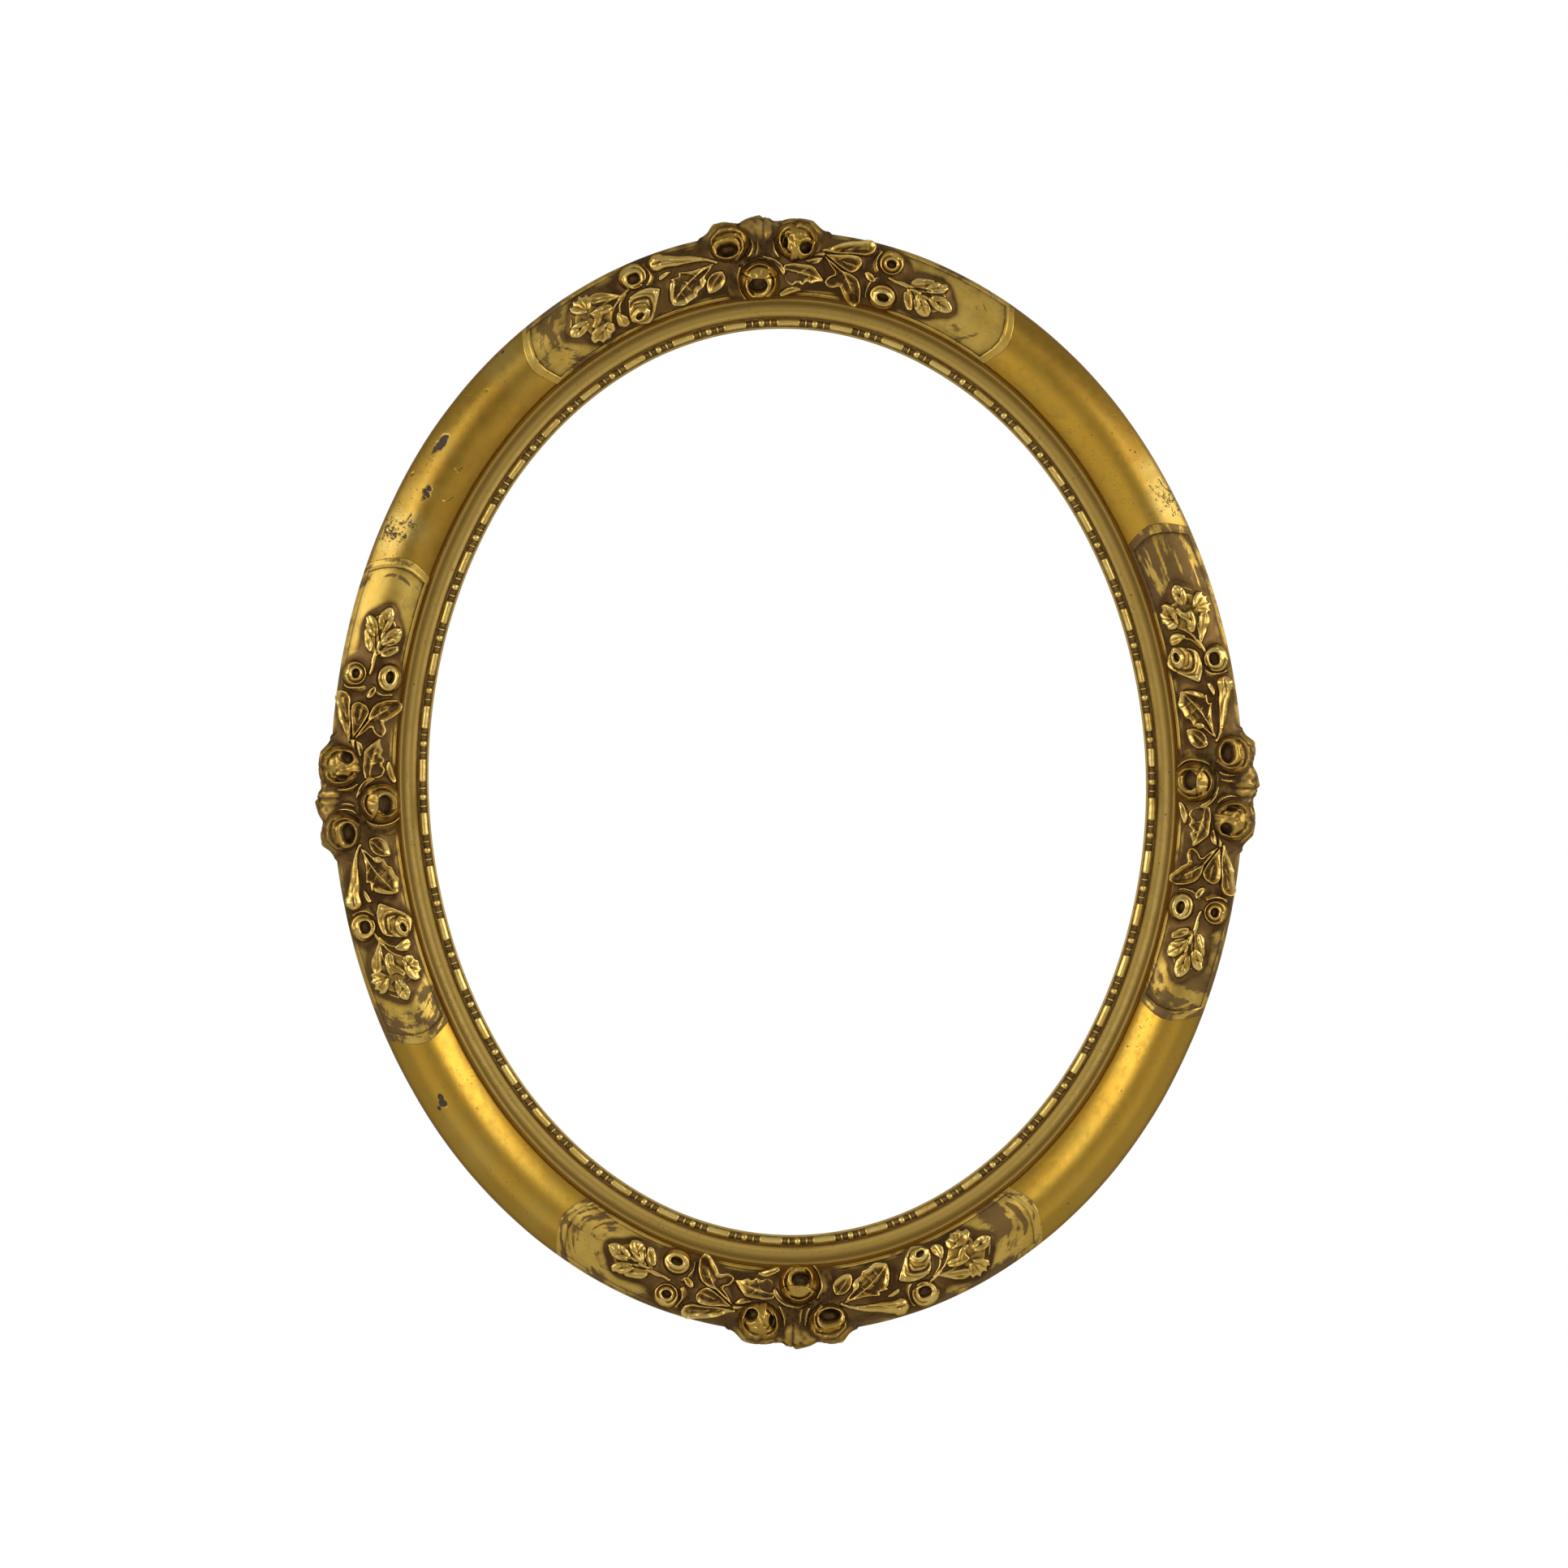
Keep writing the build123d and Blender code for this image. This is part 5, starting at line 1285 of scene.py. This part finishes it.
def ornament(name, axis, rose_s, end_a, end_b, seed):
    ns, nf = 664, 168
    lever = ((A if axis % 180 == 90 else B) + TORUS_D) / 2785
    phi = np.radians(np.linspace(41.9, 143.9, nf + 1))
    d_row = TORUS_D + 22.1 * np.cos(phi) + lever * (TORUS_H - 14.5 + 22.1 * np.sin(phi))
    back = np.interp(d_row, [12, 17, 22, 27, 32, 37, 43, 47, 51, 57], [7, 4.6, 2.4, 0.6, 0.0, 0.9, 3.4, 5.8, 8.5, 11.0])
    u = np.linspace(0.0, 1.0, ns + 1)[:, None]
    left, right = end_a + back, end_b - back
    T = left[None, :] + u * (right - left)[None, :]
    S = T - rose_s
    # the knob reaches further round the outside than the rest
    first = np.radians(41.9 - 29.0 * smooth(32.0 - np.abs(S[:, :1] - 4.5), 0, 6.0))
    PHI = first + (phi[None, :] - phi[0]) * (phi[-1] - first) / (phi[-1] - phi[0])
    c = Carving(S, PHI, seed, lever)
    # distances to the two ends and to the long edges, for the raised border
    to_end = np.minimum(T - left[None, :], right[None, :] - T)
    to_side_out = 21.7 * (PHI - first)
    to_side_in = 21.7 * (phi[-1] - PHI)
    border = np.minimum(to_end - 1.2, np.minimum(to_side_out + 0.4, to_side_in + 1.8))
    rim = np.minimum(to_end, np.minimum(to_side_out, to_side_in + 2.5))
    # field a little lower than the border band, with a fine ridge where they meet
    c.H += 0.30 * bell(border - 3.2, 0.42) - 0.45 * smooth(border, 3.2, 4.6)
    flat = c.H.copy()
    carve(c)
    H = c.H
    cell_s = (end_b - end_a) / ns
    cell_f = 22.4 * (phi[1] - phi[0])
    soft = lambda f, mm: blur(f, mm / cell_s, mm / cell_f)
    lump = 0.10 * fractal(S, c.D, 7.0, seed) + 0.05 * fractal(S, c.D, 2.2, seed + 3)
    H = H + lump * (0.5 + 0.8 * c.motif)
    bare = H.copy()
    H = np.maximum(H, 0.60 * soft(np.minimum(H, 7.5), 2.0) + 0.30 * (1 - smooth(c.pit, 0.1, 0.5)) - 3.0 * smooth(c.pit, 0.1, 0.5))
    # rounded outer rim of the casting
    H = np.minimum(H, 0.12 + (GROUND + 0.3) * np.sqrt(np.clip(1 - (1 - np.clip(rim / 1.1, 0, 1)) ** 2, 0, 1)) + np.where(rim > 1.1, 99.0, 0.0))
    H = np.maximum(H, 0.12)

    capped = np.minimum(H, 13.5)
    cav = 1.25 * (H - soft(H, 0.8)) + 0.55 * (capped - soft(capped, 2.2))
    brow = smooth(10.0 - np.abs(S - 2.0), 0, 5.0) * smooth(c.D, 48.0, 51.0)
    tone = 0.62 * brow + {"ornament_right": 0.12, "ornament_left": 0.06, "ornament_top": 0.06}.get(name, 0.0)
    # painted shade: the holes of the roses and buds darkened
    cav = np.clip(1.50 * cav, -1.5, 0.95) - 0.17 - tone - 0.95 * smooth(c.pit, 0.25, 0.8)
    # glaze pools on the ground round the motif, and runs a little way up it
    raised = smooth(bare - flat, 0.25, 0.7)
    near = soft(raised, 5.5)
    tight = soft(raised, 1.6)
    pool = np.clip(2.2 * near + 1.3 * tight, 0, 1.5) * (0.85 + 0.3 * noise(S, c.D, 7.0, seed + 5))
    middle = smooth(72 - np.abs(S + 0.0), 0, 18) * smooth(c.D, 49.0, 45.0) * smooth(c.D, 18.6, 21.4)
    middle = np.maximum(middle, smooth(24 - np.abs(S - 4.0), 0, 8) * smooth(c.D, 40.0, 44.0))
    pool = np.maximum(pool, middle * (0.95 + 0.25 * noise(S, c.D, 9.0, seed + 6)))
    rose = soft(c.rose, 0.6)
    cav = np.where(cav > 0, cav * (1.0 - 0.50 * rose), cav) * (1.0 - 0.25 * rose) - rose * (0.12 + 0.24 * smooth(c.D, 42.0, 52.0))
    # painted shade: places sunk deep below their surroundings darkened
    deep = soft(H, 4.5) - H
    cav = cav - 0.16 * np.clip(deep - 0.4, 0, 2.5)
    motif = smooth(bare - flat, 0.35, 0.95)
    cav = cav - 0.42 * (1 - smooth(bare - flat, 0.6, 1.6)) * motif + 0.10 * smooth(H, 3.0, 7.0)
    # dust and wear towards the outer side, where cloths don't reach
    dust = smooth(c.D, 45.5, 52.5) * (0.6 + 0.4 * noise(S, c.D, 8.0, seed + 9)) + 0.35 * smooth(H, 9.0, 14.0) * smooth(c.D, 44, 50)
    dust = dust + 0.15 * brow + c.rose * (0.36 if name in ("ornament_left", "ornament_right") else 0.10)
    ends_a, ends_b = T - left[None, :], right[None, :] - T
    stain = 0.55 * fractal(S, c.D, 9.0, seed + 13) + 0.22
    stain = stain + 0.18 * smooth(c.D, 46.5, 51.5)
    stain = end_stains(name, c, ends_a, ends_b, stain)

    D3, H3 = TORUS_D + (c.R0 + 0.02 + H) * np.cos(PHI), TORUS_H + (c.R0 + 0.02 + H) * np.sin(PHI)
    P = along(axis, T)
    top = place(P, D3, H3).reshape(-1, 3)
    cols, rows = ns + 1, nf + 1
    idx = np.arange(cols * rows).reshape(cols, rows)
    quads = np.stack([idx[:-1, :-1], idx[:-1, 1:], idx[1:, 1:], idx[1:, :-1]], axis=-1).reshape(-1, 4)
    # underside: the seat on the half-round, in coarse cells that share the rim
    seat = place(P, TORUS_D + (c.R0 + 0.02) * np.cos(PHI), TORUS_H + (c.R0 + 0.02) * np.sin(PHI))
    step = 8
    need = np.zeros((cols, rows), bool)
    need[0, :] = need[-1, :] = need[:, 0] = need[:, -1] = True
    need[::step, ::step] = True
    low = np.full((cols, rows), -1)
    low[need] = cols * rows + np.arange(need.sum())
    verts = np.vstack([top, seat[need]])
    faces = [quads]
    ring = [(i, 0) for i in range(cols - 1)] + [(cols - 1, j) for j in range(rows - 1)]
    ring += [(i, rows - 1) for i in range(cols - 1, 0, -1)] + [(0, j) for j in range(rows - 1, 0, -1)]
    wall = []
    for (i, j), (k, l) in zip(ring, ring[1:] + ring[:1]):
        wall.append((idx[i, j], idx[k, l], low[k, l], low[i, j]))
    faces.append(np.array(wall))
    for i in range(0, cols - 1, step):
        for j in range(0, rows - 1, step):
            loop = []
            loop += [low[k, j] for k in range(i, i + step)] if j == 0 else [low[i, j]]
            loop += [low[i + step, k] for k in range(j, j + step)] if i + step == cols - 1 else [low[i + step, j]]
            loop += [low[k, j + step] for k in range(i + step, i, -1)] if j + step == rows - 1 else [low[i + step, j + step]]
            loop += [low[i, k] for k in range(j + step, j, -1)] if i == 0 else [low[i, j + step]]
            faces.append(np.array(loop))
    # the grid, wall and seat turn the same way
    faces[0] = faces[0][:, ::-1]
    attrs = {}
    for key, value in (
        ("cavity", cav), ("motif", motif), ("glaze", pool), ("dust", dust), ("stain", stain), ("run", T), ("across", c.D),
    ):
        attrs[key] = np.concatenate([value.reshape(-1), np.broadcast_to(value, T.shape)[need]])
    ob = make_mesh(name + "_cast", verts, faces, attrs)
    ob.data.materials.append(ORNAMENT)
    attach(ob, "frame")
    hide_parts(name)
    return ob


def end_stains(name, c, a, b, stain):
    """Brushed and stained fields at the two ends of each ornament."""
    S, D = c.S, c.D
    near_a, near_b = smooth(30 - a, 0, 12), smooth(30 - b, 0, 12)
    arc_b = lambda d0, w: bell(b - d0 - 1.5 * noise(S, D, 9.0, 91), w)
    def strokes(x, seed):
        rho, th = np.hypot(x - 34.0, D - 33.0), np.arctan2(D - 33.0, x - 34.0)
        return fractal(rho, 5.0 * th, 1.9, seed)

    if name == "ornament_bottom":
        stain = stain + near_b * (-0.05 + 0.30 * smooth(40 - D, 0, 8) + 0.95 * strokes(b, 92))
        edge = 2.5 * noise(a, D, 5.0, 101)
        patch = bell(a - 9.0 + 0.4 * edge, 1.7) * smooth(D, 19.0, 24.0) * smooth(45.0 - D, 0, 4.0)
        patch = np.maximum(patch, smooth(8.5 - np.abs(a - 21.0 + edge), 0, 3.0) * smooth(40.0 + edge - D, 0, 5))
        stain = stain + near_a * (0.03 + 1.0 * patch + 0.50 * strokes(a, 95))
        stain = stain + 0.35 * smooth(D, 46.0, 50.0) * smooth(np.minimum(a, b), 12, 24)
    elif name == "ornament_right":
        stain = stain + near_b * (0.60 - 0.9 * bell((b - 19.0) + 0.55 * (D - 30.0), 2.6) + 0.5 * strokes(b, 96))
        streak = fractal(S * 0.16, D, 2.1, 93)
        stain = stain + smooth(44 - a, 0, 12) * (0.78 + 0.92 * streak) * smooth(D, 54, 44)
    elif name == "ornament_top":
        stain = stain - near_b * 0.30 + near_b * (0.8 * bell(np.hypot((b - 19) * 0.7, D - 42.0), 4.0) + 0.75 * strokes(b, 97))
        stain = stain + near_a * (0.02 + 0.35 * smooth(a, 9.0, 16.0) + 0.60 * strokes(a, 98))
    else:
        stain = stain - near_b * 0.15 + 0.55 * arc_b(10.0, 2.2) * near_b + 0.4 * strokes(b, 99) * near_b
        stain = stain + near_a * (0.2 + 0.5 * strokes(a, 100))
    return stain


for name, (axis, rose_s, end_a, end_b, seed) in ORNAMENTS.items():
    ornament(name, axis, rose_s, end_a, end_b, seed)

# ---------------------------------------------------------------- stage, light, camera


def floor():
    x, y0, y1, z = 2.2, -2.2, 0.35, -0.52
    nx, ny = 24, 20
    gx, gy = np.meshgrid(np.linspace(-x, x, nx + 1), np.linspace(y0, y1, ny + 1), indexing="ij")
    v = np.stack([gx, gy, np.full_like(gx, z)], axis=-1).reshape(-1, 3)
    i, j = np.meshgrid(np.arange(nx), np.arange(ny), indexing="ij")
    a = i * (ny + 1) + j
    me = bpy.data.meshes.new("floor")
    me.from_pydata(v.tolist(), [], np.stack([a, a + ny + 1, a + ny + 2, a + 1], axis=-1).reshape(-1, 4).tolist())
    ob = bpy.data.objects.new("floor", me)
    bpy.context.scene.collection.objects.link(ob)
    g = Graph("pale_floor")
    n = g.noise(3.0, 3.0, 0.5)
    ob.data.materials.append(g.finish(g.mix(n, (0.80, 0.80, 0.79), (0.77, 0.77, 0.76)), 0.7, 0.0))


floor()


def world():
    w = bpy.data.worlds.new("studio")
    bpy.context.scene.world = w
    w.use_nodes = True
    t = w.node_tree
    t.nodes.clear()
    out = t.nodes.new("ShaderNodeOutputWorld")
    mix = t.nodes.new("ShaderNodeMixShader")
    seen = t.nodes.new("ShaderNodeBackground")
    seen.inputs[0].default_value = (1, 1, 1, 1)
    seen.inputs[1].default_value = 1.0
    room = t.nodes.new("ShaderNodeBackground")
    coord = t.nodes.new("ShaderNodeTexCoord")
    split = t.nodes.new("ShaderNodeSeparateXYZ")
    ramp = t.nodes.new("ShaderNodeValToRGB")
    add = t.nodes.new("ShaderNodeMath")
    add.operation = "MULTIPLY_ADD"
    add.inputs[1].default_value = 0.5
    add.inputs[2].default_value = 0.5
    t.links.new(coord.outputs["Generated"], split.inputs[0])
    t.links.new(split.outputs["Z"], add.inputs[0])
    t.links.new(add.outputs[0], ramp.inputs[0])
    ramp.color_ramp.elements[0].position, ramp.color_ramp.elements[0].color = 0.05, (0.12, 0.12, 0.12, 1)
    ramp.color_ramp.elements[1].position, ramp.color_ramp.elements[1].color = 1.0, (0.42, 0.42, 0.42, 1)
    for at, v in ((0.30, 0.24), (0.46, 0.34), (0.60, 0.38)):
        ramp.color_ramp.elements.new(at).color = (v, v, v, 1)
    t.links.new(ramp.outputs[0], room.inputs[0])
    room.inputs[1].default_value = 1.0
    path = t.nodes.new("ShaderNodeLightPath")
    t.links.new(path.outputs["Is Camera Ray"], mix.inputs[0])
    t.links.new(room.outputs[0], mix.inputs[1])
    t.links.new(seen.outputs[0], mix.inputs[2])
    t.links.new(mix.outputs[0], out.inputs[0])


world()


def lamp(name, at, aim, size, power, color=(1.0, 1.0, 1.0)):
    from mathutils import Vector
    data = bpy.data.lights.new(name, "AREA")
    data.shape = "RECTANGLE"
    data.size, data.size_y = size
    data.energy = power
    data.color = color
    ob = bpy.data.objects.new(name, data)
    ob.location = at
    ob.rotation_mode = "QUATERNION"
    ob.rotation_quaternion = (Vector(aim) - Vector(at)).to_track_quat("-Z", "Y")
    bpy.context.scene.collection.objects.link(ob)
    return ob


# two wide soft sources high at the sides, as from two windows
lamp("window_left", (-1.30, -1.50, 0.43), (-0.2, -1.15, 0.30), (3.0, 0.86), 18.0)
lamp("window_right", (1.30, -0.78, 0.43), (0.2, -0.55, 0.28), (2.3, 0.86), 15.0)


def camera():
    from mathutils import Matrix, Vector
    data = bpy.data.cameras.new("camera")
    distance = 2.8
    data.sensor_width = 36.0
    # 0.4317 mm of the sight edge's plane for each of the 1932 px
    data.lens = 36.0 * (distance - 0.0145) / (1932 * 0.4317e-3)
    data.clip_start, data.clip_end = 0.05, 50.0
    ob = bpy.data.objects.new("camera", data)
    bpy.context.scene.collection.objects.link(ob)
    roll = -PHOTO_TILT
    base = Matrix.Rotation(math.radians(90), 4, "X") @ Matrix.Rotation(roll, 4, "Z")
    # the oval's centre lies 4.0 px right of the picture's middle and 2.6 px above it
    off = base.to_3x3() @ Vector((-4.0 * 0.4317e-3, -2.6 * 0.4317e-3, distance))
    ob.matrix_world = Matrix.Translation(off) @ base
    bpy.context.scene.camera = ob


camera()
bpy.context.scene.view_settings.view_transform = "Standard"
bpy.context.scene.view_settings.look = "None"
